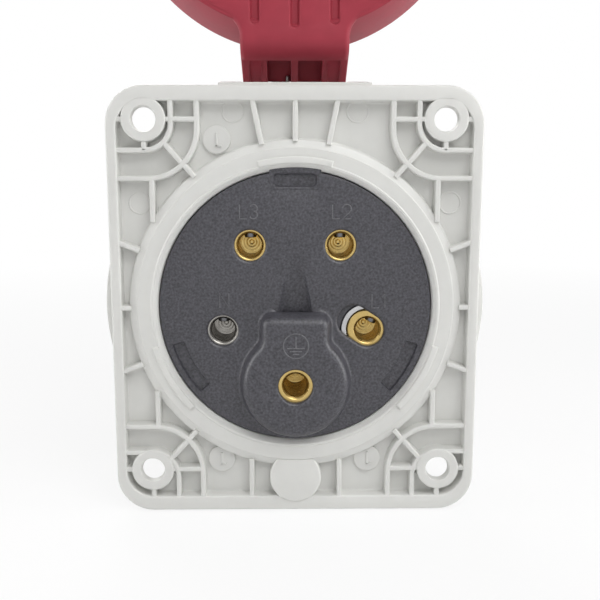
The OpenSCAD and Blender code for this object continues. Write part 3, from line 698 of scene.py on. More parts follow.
# Section of the flange's edge: inset from the outline or from the rim's inside, corner radius, height
OUTER_EDGE = (
    (0.9, 8.1, FLANGE_FRONT), (0.5, 8.5, FLANGE_FRONT + 0.06), (0.18, 8.82, FLANGE_FRONT + 0.3),
    (0.0, 9.0, FLANGE_FRONT + 0.9), (0.1, 8.9, -0.6), (0.2, 8.8, -0.24), (0.34, 8.65, -0.07),
    (0.62, 8.4, 0.0))
INNER_EDGE = (
    (-0.45, 6.85, 0.0), (-0.2, 6.6, -0.06), (-0.06, 6.45, -0.2), (0.0, 6.4, -0.45), (0.1, 6.3, FLOOR + 0.5),
    (0.18, 6.2, FLOOR + 0.2), (0.34, 6.05, FLOOR + 0.05), (0.6, 5.8, FLOOR))
# Holes in the flange's front and floor, hidden by the ring and by the screw bosses
RING_HOLE_FRONT, RING_HOLE_BACK, BOSS_HOLE = 42.0, 38.5, 4.8
EJECTOR_MARKS = ((-37.3, 25.2), (37.3, 25.2), (-14.8, 46.7), (14.8, 46.7))
DATE_DISCS = ((-18.6, 40.1), (-18.5, -38.7), (18.0, -38.7))
DISC_R, DISC_UP, HAND_UP = 3.3, 0.8, 1.2
# Width, height and place of a date disc's two hands
HANDS = ((0.55, 3.4, 0.0, 0.0), (1.7, 0.55, 0.4, -1.4))


def flange_plate(skin):
    sections = [(inset, inset, r, w) for inset, r, w in OUTER_EDGE]
    sections += [(RIM_SIDE + inset, RIM_END + inset, r, w) for inset, r, w in INNER_EDGE]
    ends = [skin.walls([
        (rounded_box(FLANGE_W - 2 * side, FLANGE_H - 2 * end, r, 10, 0.0, FLANGE_UP), w)
        for side, end, r, w in sections])]
    holes = [(0, 0, RING_HOLE_FRONT, RING_HOLE_BACK, 96)] + [(*hole, HEAD_R, BOSS_HOLE, 48) for hole in HOLES]
    for x, y, r_front, r_back, steps in holes:
        ends.append(skin.walls([
            (circle(x, y, r_front, steps), FLANGE_FRONT), (circle(x, y, r_back, steps), FLOOR)]))
    for loops in zip(*ends):
        skin.cap(*loops)


def screw_bosses(skin):
    """Bosses with a rolled rim, a lead-in and a counterbore for the screw's head."""
    inside, foot, front = 4.9, 6.1, FLANGE_FRONT + 0.1
    boss = rounded([
        (inside, front), (inside, FLOOR - 0.4), (foot, FLOOR - 0.4), (foot, BELOW_FLOOR),
        (BOSS_R + 0.03, BELOW_FLOOR, 0.45), (BOSS_R - 0.05, 0.0, 0.35), (HOLE_R + LEAD_IN, 0.0, 0.12),
        (HOLE_R, LEAD_IN_END, 0.2), (HOLE_R, HEAD_SEAT, 0.1), (HEAD_R, HEAD_SEAT, 0.2), (HEAD_R, front)], 5)
    for hole in HOLES:
        skin.turned(boss, along_w(*hole), 64, True)


def mould_marks(skin):
    """Round marks left by ejector pins, and plain date discs with their hands."""
    r_in, r_out, low, top = 2.35, 2.75, FLOOR - 0.3, FLOOR + 0.2
    ring = rounded([(r_in, low), (r_out, low), (r_out, top, 0.1), (r_in, top, 0.1)], 3)
    for mark in EJECTOR_MARKS:
        skin.turned(ring, along_w(*mark), 40, True)
    top = FLOOR + DISC_UP
    disc = rounded([(0.0, top), (DISC_R, top, 0.12), (DISC_R + 0.05, FLOOR - 0.2)], 3, False)
    for x, y in DATE_DISCS:
        skin.turned(disc, along_w(x, y), 56)
        for w, h, right, up in HANDS:
            hand = rounded_box(w, h, 0.2, 3, x + right, y + up)
            skin.slab([hand], FLOOR, FLOOR + HAND_UP, (0.02, 0.1), ON_AXIS, 2)


def flange_tray():
    skin = Skin()
    flange_plate(skin)
    screw_bosses(skin)
    mould_marks(skin)
    return skin.made("flange_tray", GREY)


# Ribs, whose tops are stepped a little so that crossing ones don't lie in one plane
RIB_TOP, RIB_STEP = -0.3, 0.03
RIB_W, RIB_FOOT, RIB_SUNK, RIB_ROUND = 1.15, 1.45, 0.3, 0.3
# Distance from the flange's side, from its end, and radius of the bend
INNER_BEND, OUTER_BEND = (15.3, 15.0, 6.2), (21.4, 21.6, 11.6)
SHORT_RIB_U, LOW_RIB_U, BOSS_SPOKE = 33.9, 10.9, 4.9
TOP_FAN, SIDE_FAN = (-11.5, 0.0, 11.5), (-20.5, 0.0, 20.5)
HALF_W, HALF_H = FLANGE_W / 2, FLANGE_H / 2
RIB_SIDE, RIB_END, RIB_ROOT = HALF_W - RIM_SIDE / 2, HALF_H - RIM_END / 2, RING_R - 0.5


def bent_rib(side, end, r):
    x, y = HALF_W - side, HALF_H - end
    return [(x, RIB_END)] + arc(x + r, y + r, r, 180, 90, 14) + [(RIB_SIDE, y)]


def bend_middle(side, end, r):
    lean = 1 - cos(radians(45))
    return Vector((HALF_W - side + r * lean, HALF_H - end + r * lean))


def corner_ribs(sx, sy):
    """Ribs of one corner: two bent ones, spokes to the screw boss, a slanting and a short one."""
    u, v = HOLE_U, sy * (HOLE_UP - FLANGE_UP) + HOLE_V
    inner_v, outer_u, outer_v = HALF_H - INNER_BEND[1], HALF_W - OUTER_BEND[0], HALF_H - OUTER_BEND[1]
    a, b = bend_middle(*OUTER_BEND), bend_middle(*INNER_BEND)
    back = (b - a).normalized() * (hypot(a.x, a.y + sy * FLANGE_UP) - RING_R + 0.9)
    foot = sqrt(RIB_ROOT ** 2 - SHORT_RIB_U ** 2) - sy * FLANGE_UP
    ribs = [
        (0, bent_rib(*INNER_BEND)), (1, bent_rib(*OUTER_BEND)),
        (2, [(outer_u, v), (u - BOSS_SPOKE, v)]), (0, [(u + BOSS_SPOKE, v), (RIB_SIDE, v)]),
        (0, [(u, inner_v), (u, v - BOSS_SPOKE)]), (3, [a - back, b]),
        (2, [(SHORT_RIB_U, foot), (SHORT_RIB_U, outer_v)])]
    if sy < 0:
        ribs.append((0, [(u, v + BOSS_SPOKE), (u, RIB_END)]))
    return [[(sx * x, FLANGE_UP + sy * y, RIB_TOP - steps * RIB_STEP) for x, y in line]
            for steps, line in ribs]


def edge_ribs():
    """Straight ribs from the ring to the rim: fans at the top and the sides, two beside the tab."""
    top, bottom = FLANGE_UP + RIB_END, FLANGE_UP - RIB_END
    lines = []
    for t in map(radians, TOP_FAN):
        lines.append([(RIB_ROOT * sin(t), RIB_ROOT * cos(t)), (top * tan(t), top)])
    for sx in (-1, 1):
        lines.append([(sx * LOW_RIB_U, bottom), (sx * LOW_RIB_U, -sqrt(RIB_ROOT ** 2 - LOW_RIB_U ** 2))])
        for t in map(radians, SIDE_FAN):
            lines.append([(sx * RIB_ROOT * cos(t), RIB_ROOT * sin(t)), (sx * RIB_SIDE, RIB_SIDE * tan(t))])
    return [[(x, y, RIB_TOP) for x, y in line] for line in lines]


def flange_ribs():
    paths = [path for sx in (-1, 1) for sy in (-1, 1) for path in corner_ribs(sx, sy)]
    return swept("flange_ribs", RIB_TREE, paths + edge_ribs(), GREY, Top_width=RIB_W * MM,
                 Foot_width=RIB_FOOT * MM, Height=(RIB_TOP - FLOOR + RIB_SUNK) * MM,
                 Edge_radius=RIB_ROUND * MM)


KEYWAY_HALF, KEYWAY_DEEP = 3.8, 2.4
LIP_R, LIP_W, BULGE_R = 40.0, 3.0, 46.6
PAD_ANGLES, PAD_TURN, PAD_IN, PAD_OUT, PAD_TOP = (90, 210, 330), 29, 34.5, 36.2, 0.3
TAB_V, TAB_R, TAB_ROOT = -42.8, 6.4, 38.3
TAB_SLOPE_V, TAB_SLOPE_L, TAB_RISE = -39.0, 7.0, 0.75
STRIP_W, STRIP_H, STRIP_V = 36.4, 2.5, 52.2
LUG_NEAR, LUG_FAR, LUG_FOOT, LUG_FRONT = 14.2, 20.2, 29.6, -34.7
LUG_HEAD, LUG_HEEL, LUG_EYE_R = 53.0, 47.0, 1.53
WEB_U, WEB_V, WEB_R, WEB_BOSS_R, WEB_TOP = 35.4, -42.6, 6.2, 4.3, -0.22


def with_keyway(r, w, t):
    """Radius of the collar, widened inside at the bottom."""
    inside = w < COLLAR_FLOOR - 0.1 and r < COLLAR_IN + 0.8
    low = sin(t) < 0 and abs(r * cos(t)) < KEYWAY_HALF
    return r + KEYWAY_DEEP if inside and low else r


def collar_and_ring(skin):
    front, seat = FLANGE_FRONT + 0.5, 27.9
    profile = rounded([
        (COLLAR_IN, COLLAR_END, 0.7), (LIP_R, COLLAR_END, 0.9), (LIP_R, COLLAR_END + LIP_W, 0.5),
        (COLLAR_R, COLLAR_END + LIP_W, 0.8), (COLLAR_R, -14.5, 2.5), (BULGE_R, -10.5, 1.2),
        (BULGE_R, front, 0.3), (41.4, front), (41.4, BELOW_FLOOR), (RING_R + 0.05, BELOW_FLOOR, 0.6),
        (RING_R - 0.05, -1.35, 0.6), (38.4, -0.6, 0.3), (38.15, -0.3, 0.1), (35.0, -0.35, 0.1),
        (34.7, -0.08, 0.12), (34.25, -0.18, 0.15), (BORE_R, -1.55, 0.25), (BORE_R, PLATE_FRONT),
        (seat, PLATE_FRONT), (seat, COLLAR_FLOOR, 0.3), (COLLAR_IN, COLLAR_FLOOR, 1.0)], 5)
    skin.turned(profile, ON_AXIS, 216, True, with_keyway)


def locking_pads(skin):
    for a in PAD_ANGLES:
        pad = band(0, 0, PAD_IN, PAD_OUT, a - PAD_TURN / 2, PAD_TURN, 14)
        skin.slab([pad], -1.5, PAD_TOP, (0.05, 0.4), ON_AXIS)


def sloped(x, y, w):
    """Lifts the tab's top toward its lower end."""
    rise = max(0.0, min(1.0, (TAB_SLOPE_V - y) / TAB_SLOPE_L))
    return x, y, w if w < FLOOR else w + TAB_RISE * rise


def keyway_tab(skin):
    """Tab over the keyway, which runs into the ring's outer band."""
    tab = [p for p in circle(0, TAB_V, TAB_R, 72) if hypot(*p) > TAB_ROOT]
    tab.sort(key=lambda p: (atan2(p[1] - TAB_V, p[0]) + radians(270)) % (2 * pi))
    first, last = (degrees(atan2(y, x)) for x, y in (tab[0], tab[-1]))
    inner = arc(0, 0, TAB_ROOT, last, first - last, 12)[1:-1]
    skin.slab([tab + inner], FLOOR - 0.4, -0.3, (0.05, 0.6), sloped)


def boss_webs(skin):
    """Webs that join the lower screw bosses to the bent ribs beside them."""
    web = arc(WEB_U, WEB_V, WEB_R, 90, 90, 12) + arc(HOLE_U, HOLE_UP - HOLE_V, WEB_BOSS_R, 180, -90, 8)
    for outline in (mirrored(web), web):
        skin.slab([outline], FLOOR - 0.2, WEB_TOP, (0.02, 0.1), ON_AXIS, 2)


def hinge_lugs(skin):
    """A low strip along the flange's top edge, and the two lugs that it joins."""
    strip = rounded_box(STRIP_W, STRIP_H, 0.35, 4, 0, STRIP_V)
    skin.slab([strip], FLANGE_FRONT + 0.2, FLOOR + 0.1, 0.25, ON_AXIS, 3)
    back = FLANGE_FRONT + 0.6
    lug = [(LUG_FOOT, LUG_FRONT), (LUG_HEAD, LUG_FRONT)] + arc(HINGE_V, HINGE_W, HINGE_EYE_R, -110, 200, 18)
    lug += [(LUG_HEEL, back), (LUG_FOOT, back)]
    eye = circle(HINGE_V, HINGE_W, LUG_EYE_R, 32)[::-1]
    for near, far in ((-LUG_FAR, -LUG_NEAR), (LUG_NEAR, LUG_FAR)):
        skin.slab([lug, eye], near, far, 0.45, sideways, 3)


def round_body():
    skin = Skin()
    collar_and_ring(skin)
    locking_pads(skin)
    keyway_tab(skin)
    boss_webs(skin)
    hinge_lugs(skin)
    return skin.made("ring_and_collar", GREY)


# Insert

OPENING_R, CLIP_POCKET, OPENING_LEDGE = 3.75, 6.7, -2.7
# Radius and depth down the rounded edge of an opening
OPENING_EDGE = ((4.42, 0.0), (4.3, 0.04), (3.9, 0.32), (3.78, 0.5))
# Length and direction of the L1 opening, and how much wider it is than the round ones
L1_LENGTH, L1_DIRECTION, L1_WIDER = 4.2, 147, 0.2
TOP_RECESS_W, TOP_RECESS_H, TOP_RECESS_V = 10.2, 3.1, 30.6
RECESS_IN, RECESS_OUT, RECESS_STARTS, RECESS_TURN = 28.3, 31.4, (-42, 197), 25
TOP_LUG_R, TOP_LUG_START, TOP_LUG_TURN, TOP_LUG_HALF, TOP_LUG_V = 33.75, 79.4, 21.2, 5.9, 28.4
# Inset and height down a recess's wall
RECESS_WALL = ((-0.16, FACE), (-0.05, FACE - 0.06), (0.0, FACE - 0.2), (0.1, -1.8), (0.2, -1.9))
GROOVE_HALF, GROOVE_DEEP, GROOVE_L, GROOVE_UNDER, GROOVE_ROWS = 4.6, 2.0, 15.0, 1.5, 24
# Powers that space the groove's rows, curve its fall and flatten its bottom, and its taper
GROOVE_SPACING, GROOVE_FALL, GROOVE_FLAT, GROOVE_TAPER = 1.4, 1.6, 3, 0.72
EARTH_R, EARTH_NECK_HALF, NECK_TOP, EARTH_TOP = 13.4, 8.6, -1.2, 4.0
NECK_CORNER, NECK_HOLLOW, SMALLEST_ROUND = 2.8, 3.0, 0.6
# Growth and height of the fillet around the earth boss's foot, and the round of its top edge
EARTH_FOOT = ((1.1, FACE - 0.5), (1.1, FACE), (0.72, FACE + 0.07), (0.36, FACE + 0.27), (0.1, FACE + 0.6),
              (-0.05, FACE + 1.0))
EARTH_ROUND, EARTH_PLATEAU, EARTH_TURNS = 2.6, -2.96, (75, 62, 50, 38, 26, 13, 0)
# Half width that the fillet leaves free for the groove, and the width over which it fades in
FOOT_GAP, FOOT_FADE = 4.3, 1.3


def plate_edge(skin):
    step_r, step_w = PLATE_R - 1.5, -8.5
    edge = rounded([
        (step_r, PLATE_FRONT), (step_r, step_w), (PLATE_R, step_w), (PLATE_R, FACE, 0.35),
        (PLATE_R - 2, FACE)], 4, False)
    rings = skin.turned(edge[:-1], ON_AXIS, 192)
    return rings[-1], rings[0]


def wire_opening(skin, name):
    """An opening with a rounded edge, and the wider pocket of the contact. Returns its two ends."""
    x, y = centre(name)
    pocket = contact_radii(name)[2] + POCKET_GAP
    if name == "pe":
        return skin.walls([(circle(x, y, pocket, 64), FACE), (circle(x, y, pocket, 64), PLATE_FRONT)])
    if name == "l1":
        pocket = CLIP_POCKET

    def shape(r):
        return slot_loop(x, y, L1_LENGTH, r + L1_WIDER, L1_DIRECTION) if name == "l1" else circle(x, y, r, 64)

    wall = shape(OPENING_R)
    stretch = [pocket / hypot(p - x, q - y) for p, q in wall]
    around = [(x + (p - x) * k, y + (q - y) * k) for (p, q), k in zip(wall, stretch)]
    edge = [(shape(r), FACE - deep) for r, deep in OPENING_EDGE]
    return skin.walls(edge + [
        (wall, FACE - 0.8), (wall, OPENING_LEDGE), (around, OPENING_LEDGE), (around, PLATE_FRONT)])


def recess_outlines():
    """Outlines of the shallow recesses near the edge: a straight one at the top, two bent ones."""
    outlines = [rounded_box(TOP_RECESS_W, TOP_RECESS_H, 0.9, 6, 0, TOP_RECESS_V)]
    for start in RECESS_STARTS:
        outer = arc(0, 0, RECESS_OUT, start, RECESS_TURN, 16)
        inner = arc(0, 0, RECESS_IN, start + RECESS_TURN, -RECESS_TURN, 16)
        outlines.append(rounded(round_ends(outer, 0.4) + round_ends(inner, 0.4), 4))
    return outlines


def driver_groove(skin):
    """Slanted groove for the earth's screwdriver, which runs on under the neck. Returns its edge."""
    across = [i / 10 - 1 for i in range(21)]
    rows = []
    for k in range(GROOVE_ROWS + 1):
        t = 1 - (1 - k / GROOVE_ROWS) ** GROOVE_SPACING
        v = NECK_TOP - GROOVE_UNDER + (GROOVE_L + GROOVE_UNDER) * t
        half, deep = GROOVE_HALF * (1 - GROOVE_TAPER * t), GROOVE_DEEP * (1 - t ** GROOVE_FALL)
        rows.append(skin.loop([(half * x, v, FACE - deep * (1 - abs(x) ** GROOVE_FLAT)) for x in across]))
    skin.stack(rows, False)
    skin.face(rows[0], True)
    sides = rows[:-1]
    return [row[-1] for row in sides] + rows[-1][::-1] + [row[0] for row in reversed(sides)]


def top_lug(skin, recess):
    """Raised lug at the top edge around a recess, which locks under the ring."""
    corners = round_ends(arc(0, 0, TOP_LUG_R, TOP_LUG_START, TOP_LUG_TURN, 12), 0.4)
    corners += [(-TOP_LUG_HALF, TOP_LUG_V, 0.5), (TOP_LUG_HALF, TOP_LUG_V, 0.5)]
    hole = moved_in(recess, -0.2)[::-1]
    skin.slab([rounded(corners, 4), hole], -2.2, FACE + 0.08, (0.05, 0.12), ON_AXIS, 3)


def boss_outline(grow):
    """The earth boss seen from behind: a disc with a neck above it, grown by a distance."""
    x, y = centre("pe")
    r, half, top = EARTH_R + grow, EARTH_NECK_HALF + grow, NECK_TOP + grow
    corner, hollow = max(SMALLEST_ROUND, NECK_CORNER + grow), max(SMALLEST_ROUND, NECK_HOLLOW - grow)
    right, lean = neck_fillet(r, half, hollow, 8, y)
    fill = right[-1][1]
    right += [(half, fill + (top - corner - fill) * k / 6) for k in range(1, 6)]
    right += arc(half - corner, top - corner, corner, 0, 90, 8)
    edge = [((half - corner) * (1 - 2 * k / 40), top) for k in range(1, 40)]
    return right + edge + mirrored(right) + arc(x, y, r, 180 - lean, 180 + 2 * lean, 80)[1:-1]


def boss_level(grow):
    """The boss's outline grown by a distance, but not over the groove."""
    points = []
    for (p, q), (a, b) in zip(boss_outline(grow), boss_outline(0.0)):
        k = 1.0
        if grow > 0 and b > NECK_TOP - 0.1:
            k = max(0.0, min(1.0, (abs(a) - FOOT_GAP) / FOOT_FADE))
        points.append((a + (p - a) * k, b + (q - b) * k))
    return points


def earth_boss(skin):
    """Boss with drafted walls and generous rounds, and the opening for the earth wire."""
    x, y = centre("pe")
    pocket, rear = contact_radii("pe")[2] + POCKET_GAP, contact_rear("pe")
    levels = list(EARTH_FOOT)
    for t in map(radians, EARTH_TURNS):
        levels.append((EARTH_PLATEAU + EARTH_ROUND * sin(t), EARTH_TOP - EARTH_ROUND * (1 - cos(t))))
    mouth = ((4.75, EARTH_TOP), (4.6, EARTH_TOP - 0.06), (4.3, 3.7), (4.15, 3.4), (4.15, rear),
             (pocket, rear), (pocket, FACE - 0.5))
    foot, top = skin.walls([(boss_level(grow), w) for grow, w in levels])
    rim, bottom = skin.walls([(circle(x, y, r, 80), w) for r, w in mouth])
    skin.cap(top, rim)
    skin.cap(foot, bottom)


def terminal_plate():
    skin = Skin()
    ends = [plate_edge(skin)] + [wire_opening(skin, name) for name in CONTACTS]
    back, front = (list(loops) for loops in zip(*ends))
    recesses = recess_outlines()
    for outline in recesses:
        top, foot = skin.walls([(moved_in(outline, inset), w) for inset, w in RECESS_WALL])
        back.append(top)
        skin.cap(foot)
    back.append(driver_groove(skin))
    skin.cap(*back)
    skin.cap(*front)
    top_lug(skin, recesses[0])
    earth_boss(skin)
    return skin.made("terminal_plate_face", DARK)


LETTERS = {
    "L": [(0, 3.4), (0, 0), (1.75, 0)],
    "N": [(0, 0), (0, 3.4), (2.2, 0), (2.2, 3.4)],
    "1": [(0.1, 2.7), (0.8, 3.4), (0.8, 0)],
    "2": arc(1.05, 2.35, 1.05, 170, -205, 14) + [(0.05, 0), (2.15, 0)],
    "3": arc(0.95, 2.5, 0.9, 150, -230, 12)[:-1] + arc(0.95, 0.95, 0.95, 80, -230, 12),
}
LETTER_STEP, LETTER_UP = 2.35, 0.12
MARK_W, MARK_FOOT, MARK_H, MARK_ROUND = 0.2, 0.4, 0.3, 0.08
LABELS = (("L3", -13.3, 21.5), ("L2", 8.9, 21.5), ("N", -18.3, 0.1), ("L1", 18.6, -0.1))
EARTH_SIGN = (
    arc(0, 0, 3.0, 0, 359.9, 48), [(0, 2.3), (0, -0.45)], [(-2.1, -0.55), (2.1, -0.55)],
    [(-1.45, -1.3), (1.45, -1.3)], [(-0.75, -2.0), (0.75, -2.0)])
SIGN_U, SIGN_V, SIGN_W = 0.1, -8.5, EARTH_TOP + 0.1


def terminal_marks():
    """The usual terminal letters and the earth sign, as thin raised lines."""
    paths = []
    for text, u, v in LABELS:
        for i, letter in enumerate(text):
            left = u + i * LETTER_STEP
            paths.append([(left + x, v + y, FACE + LETTER_UP) for x, y in LETTERS[letter]])
    for line in EARTH_SIGN:
        paths.append([(SIGN_U + x, SIGN_V + y, SIGN_W) for x, y in line])
    # The marks' lighter colour is partly wear and partly painted highlight.
    return swept("terminal_marks", RIB_TREE, paths, MARKS_WORN_AND_HIGHLIT, Top_width=MARK_W * MM,
                 Foot_width=MARK_FOOT * MM, Height=MARK_H * MM, Edge_radius=MARK_ROUND * MM)


GUIDE_GAP, GUIDE_W, GUIDE_UP = 1.55, 0.7, 0.25


def carrier_bore(skin, name):
    """A bore for the pin, the sleeve and the contact's body. Returns its front and rear loops."""
    x, y = centre(name)
    pin, sleeve, body = contact_radii(name)
    pin, sleeve, body = pin + PIN_PLAY, sleeve + POCKET_GAP, body + POCKET_GAP
    stop = SLEEVE_TIP - 0.3
    levels = ((pin + 0.6, CARRIER_FRONT), (pin + 0.25, CARRIER_FRONT + 0.12), (pin, CARRIER_FRONT + 0.5),
              (pin, stop), (sleeve, stop), (sleeve, SHOULDER), (body, SHOULDER), (body, PLATE_FRONT))
    return skin.walls([(circle(x, y, r, 56), w) for r, w in levels])


def front_carrier():
    skin = Skin()
    shell = rounded([
        (0.1, PLATE_FRONT), (CARRIER_R, PLATE_FRONT), (CARRIER_R, CARRIER_FRONT, 0.9),
        (0.1, CARRIER_FRONT)], 5, False)
    rings = skin.turned(shell[1:-1], ON_AXIS, 128)
    ends = [(rings[-1], rings[0])] + [carrier_bore(skin, name) for name in CONTACTS]
    for loops in zip(*ends):
        skin.cap(*loops)
    # Raised guide rings around the holes
    low, top = CARRIER_FRONT + 0.2, CARRIER_FRONT - GUIDE_UP
    for name in CONTACTS:
        r_in = contact_radii(name)[0] + GUIDE_GAP
        r_out = r_in + GUIDE_W
        ring = rounded([(r_in, low), (r_in, top, 0.2), (r_out, top, 0.2), (r_out, low)], 3)
        skin.turned(ring, along_w(*centre(name)), 56, True)
    return skin.made("front_carrier_face", DARK)


WIRE_R, WIRE_BOTTOM, DRILL_ANGLE, DRILL_STEPS, DRILL_RISES = 2.85, -11.5, 31, 8, (0.03, 0.1)
RING_GROOVE, RING_GROOVE_W, RING_GROOVE_DEEP = SLEEVE_TIP + 3.0, 1.2, 0.45
PIN_DEPTH, PIN_POINT = 26.5, 27.6
SLIT_HALF, SLIT_END, SLIT_ANGLES = 0.4, SLEEVE_TIP + 18, (45, 135)
SCREW_HOLE_R, CUT_REACH = 2.05, 9


def drilled_bottom():
    """Corners of a bore's conical bottom, with the steps that the drill's edges leave."""
    cone = []
    for k in range(DRILL_STEPS):
        near, far = WIRE_R * k / DRILL_STEPS, WIRE_R * (k + 1) / DRILL_STEPS
        depth = WIRE_BOTTOM - (WIRE_R - near) * tan(radians(DRILL_ANGLE))
        cone += [(near, depth), (far, depth + DRILL_RISES[k % 2])]
    return cone


def toward_screw(name):
    """Places along the axis of a contact's clamp screw, from the middle of the wire bore."""
    x, y = centre(name)
    tilt = radians(SCREW_TILT.get(name, 0.0))
    return lambda p, q, z: (x + p * cos(tilt) + z * sin(tilt), y - p * sin(tilt) + z * cos(tilt), SCREW_W + q)


def turned_about(x, y, angle):
    d = radians(angle)
    return lambda p, q, w: (x + p * cos(d) - q * sin(d), y + p * sin(d) + q * cos(d), w)


def contact(name):
    """A turned contact with its wire bore, screw hole and slit sleeve."""
    x, y = centre(name)
    pin, sleeve, body = contact_radii(name)
    rear, groove_end, groove_r = contact_rear(name), RING_GROOVE + RING_GROOVE_W, sleeve - RING_GROOVE_DEEP
    profile = rounded(drilled_bottom() + [
        (WIRE_R, rear - 0.7, 0.3), (WIRE_R + 0.6, rear, 0.45), (body, rear, 0.4), (body, SHOULDER, 0.3),
        (sleeve, SHOULDER, 0.3), (sleeve, groove_end), (groove_r, groove_end), (groove_r, RING_GROOVE),
        (sleeve, RING_GROOVE), (sleeve, SLEEVE_TIP, 0.4), (pin, SLEEVE_TIP, 0.35),
        (pin, SLEEVE_TIP + PIN_DEPTH), (0.0, SLEEVE_TIP + PIN_POINT)], 4, False)
    material = NICKEL if name == "n" else BRASS
    piece = lathe("contact_" + name + "_turned", material, profile, along_w(x, y), 72, False)
    bore = [(0, 0), (SCREW_HOLE_R, 0), (SCREW_HOLE_R, CUT_REACH), (0, CUT_REACH)]
    cutters = [lathe("hole", material, bore, toward_screw(name), 40, False)]
    for angle in SLIT_ANGLES:
        to = turned_about(x, y, angle)
        cutters.append(slot_cutter(CUT_REACH, SLIT_HALF, SLEEVE_TIP - 1, SLIT_END, to, material))
    return cut_out(piece, *cutters)


def spring_ring(name):
    """An open ring of flat wire in the sleeve's groove."""
    r, thick, play, gap = contact_radii(name)[1] - 0.41, 0.51, 0.04, 6
    outline = band(*centre(name), r, r + thick, gap, 360 - 2 * gap, 60)
    skin = Skin()
    skin.slab([outline], RING_GROOVE + play, RING_GROOVE + RING_GROOVE_W - play, 0.12, ON_AXIS, 3)
    return skin.made("spring_ring_" + name + "_bent", STEEL)


SCREW_START, SCREW_END, SCREW_TIP, SCREW_TIP_R, SCREW_CORE_R = 2.9, 7.9, 1.7, 1.45, 1.72
SLOT_HALF_L, SLOT_HALF_W, SLOT_DEEP = 3, 0.4, 1.2
THREAD_START = SCREW_START + 0.55
THREAD_R, THREAD_WIRE, THREAD_PITCH, THREAD_TURNS, THREAD_STEPS = 1.74, 0.24, 0.7, 4.6, 22


# The screws' dark colour is painted shade of the wire bores.
def screw_core(name):
    profile = rounded([
        (0, SCREW_TIP), (SCREW_TIP_R, SCREW_TIP, 0.3), (SCREW_TIP_R + 0.05, SCREW_START, 0.05),
        (SCREW_CORE_R, SCREW_START + 0.3, 0.1), (SCREW_CORE_R, SCREW_END, 0.3), (0, SCREW_END)], 4, False)
    to = toward_screw(name)
    piece = lathe("clamp_" + name + "_core", SCREW_DARK_FOR_SHADE, profile, to, 40, False)
    low, high = SCREW_END - SLOT_DEEP, SCREW_END + 1
    return cut_out(piece, slot_cutter(SLOT_HALF_L, SLOT_HALF_W, low, high, to, SCREW_DARK_FOR_SHADE))


def screw_thread(name):
    to, helix = toward_screw(name), []
    for k in range(int(THREAD_TURNS * THREAD_STEPS) + 1):
        t, along = 2 * pi * k / THREAD_STEPS, THREAD_START + THREAD_PITCH * k / THREAD_STEPS
        helix.append(to(THREAD_R * cos(t), THREAD_R * sin(t), along))
    return swept("clamp_" + name + "_thread", WIRE_TREE, [helix], SCREW_DARK_FOR_SHADE,
                 Wire_radius=THREAD_WIRE * MM, Sides=6)


CLIP_IN, CLIP_OUT, CLIP_START, CLIP_TURN, CLIP_LOW = 5.2, 6.5, 92, 110, -5.5
SEAL_R, SEAL_W, SEAL_THICK = 32.3, -9.4, 0.7


def terminal_clip():
    """Bent plate beside the L1 contact, seen through the oblong opening."""
    outline = band(*centre("l1"), CLIP_IN, CLIP_OUT, CLIP_START, CLIP_TURN, 30)
    skin = Skin()
    skin.slab([outline], CLIP_LOW, contact_rear("l1"), 0.25, ON_AXIS)
    return skin.made("terminal_clip_bent", CLIP_PLATE)


def insert_seal():
    return lathe("insert_seal_ring", RUBBER, circle(SEAL_R, SEAL_W, SEAL_THICK, 14))


# Lid

# Inset and depth of the rolled edge that runs round the lid's face and down its neck
LID_EDGE = ((0.0, 2.2), (0.0, 1.3), (0.1, 0.8), (0.38, 0.38), (0.8, 0.1), (1.3, 0.0))
# Place across the lid and upper reach of each grip groove, then inset and depth of a groove's wall
GRIPS, GRIP_L, GRIP_R = ((-9.75, 40.4), (0.0, 41.3), (9.75, 40.6)), 27.1, 1.15
GRIP_WALL = ((-0.42, 0.0), (-0.2, 0.05), (-0.02, 0.2), (0.1, 0.5), (0.25, 0.95), (0.55, 1.28), (1.0, 1.4))
NECK_FILL = 5.5
PIN_R, PIN_HALF, LID_EYE_R = 1.5, 20.2, 1.56
# Sections across the neck, as v and w
SIDE_PANEL = ((43.0, -50.5), (47.0, -48.8), (49.4, -46.8), (53.6, -37.2), (52.6, -35.4), (50.5, -36.8),
              (44.6, -42.0))
NECK_FLOOR = ((43.6, -44.5), (51.9, -34.6), (50.9, -32.0), (44.3, -39.6), (42.4, -42.0))
NECK_WALL_IN, PANEL_IN, PANEL_OUT = 11.4, 8.4, 11.6
NECK_RIB_HALF, NECK_RIB_IN, NECK_TUBE_R = 0.9, 0.9, 2.55
NECK_RIBS, NECK_TUBES = (-7.9, 0.0, 7.9), ((-11.5, -8.7), (0.8, 7.1), (8.7, 11.5))


def neck_path(s, t):
    """The neck's skin as it bends away from the lid's face: s runs along it, t into it."""
    s -= BEND_V
    if s <= 0:
        return BEND_V + s, LID_FACE + t
    turn = min(s / BEND_R, radians(BEND_TURN))
    rest = s - turn * BEND_R
    r = BEND_R - t
    return BEND_V + r * sin(turn) + rest * cos(turn), LID_FACE + BEND_R - r * cos(turn) + rest * sin(turn)


def lid_cup(skin):
    """Conical side, rim and inside of the lid, with the seal's seat."""
    cup = rounded([
        (0, LID_FACE + 1.2), (40.2, LID_FACE + 1.2), (40.9, LID_FACE + 0.25),
        (LID_FACE_R + 0.1, LID_FACE + 0.5, 0.5), (LID_R, LID_RIM, 0.6), (LID_IN, LID_RIM, 0.5),
        (40.16, LID_INSIDE, 1.2), (34.0, LID_INSIDE, 0.3), (33.4, LID_INSIDE + 0.4, 0.3),
        (30.4, LID_INSIDE + 0.4, 0.3), (29.8, LID_INSIDE, 0.3), (0, LID_INSIDE)], 5, False)
    skin.turned(cup, ON_AXIS, 160)


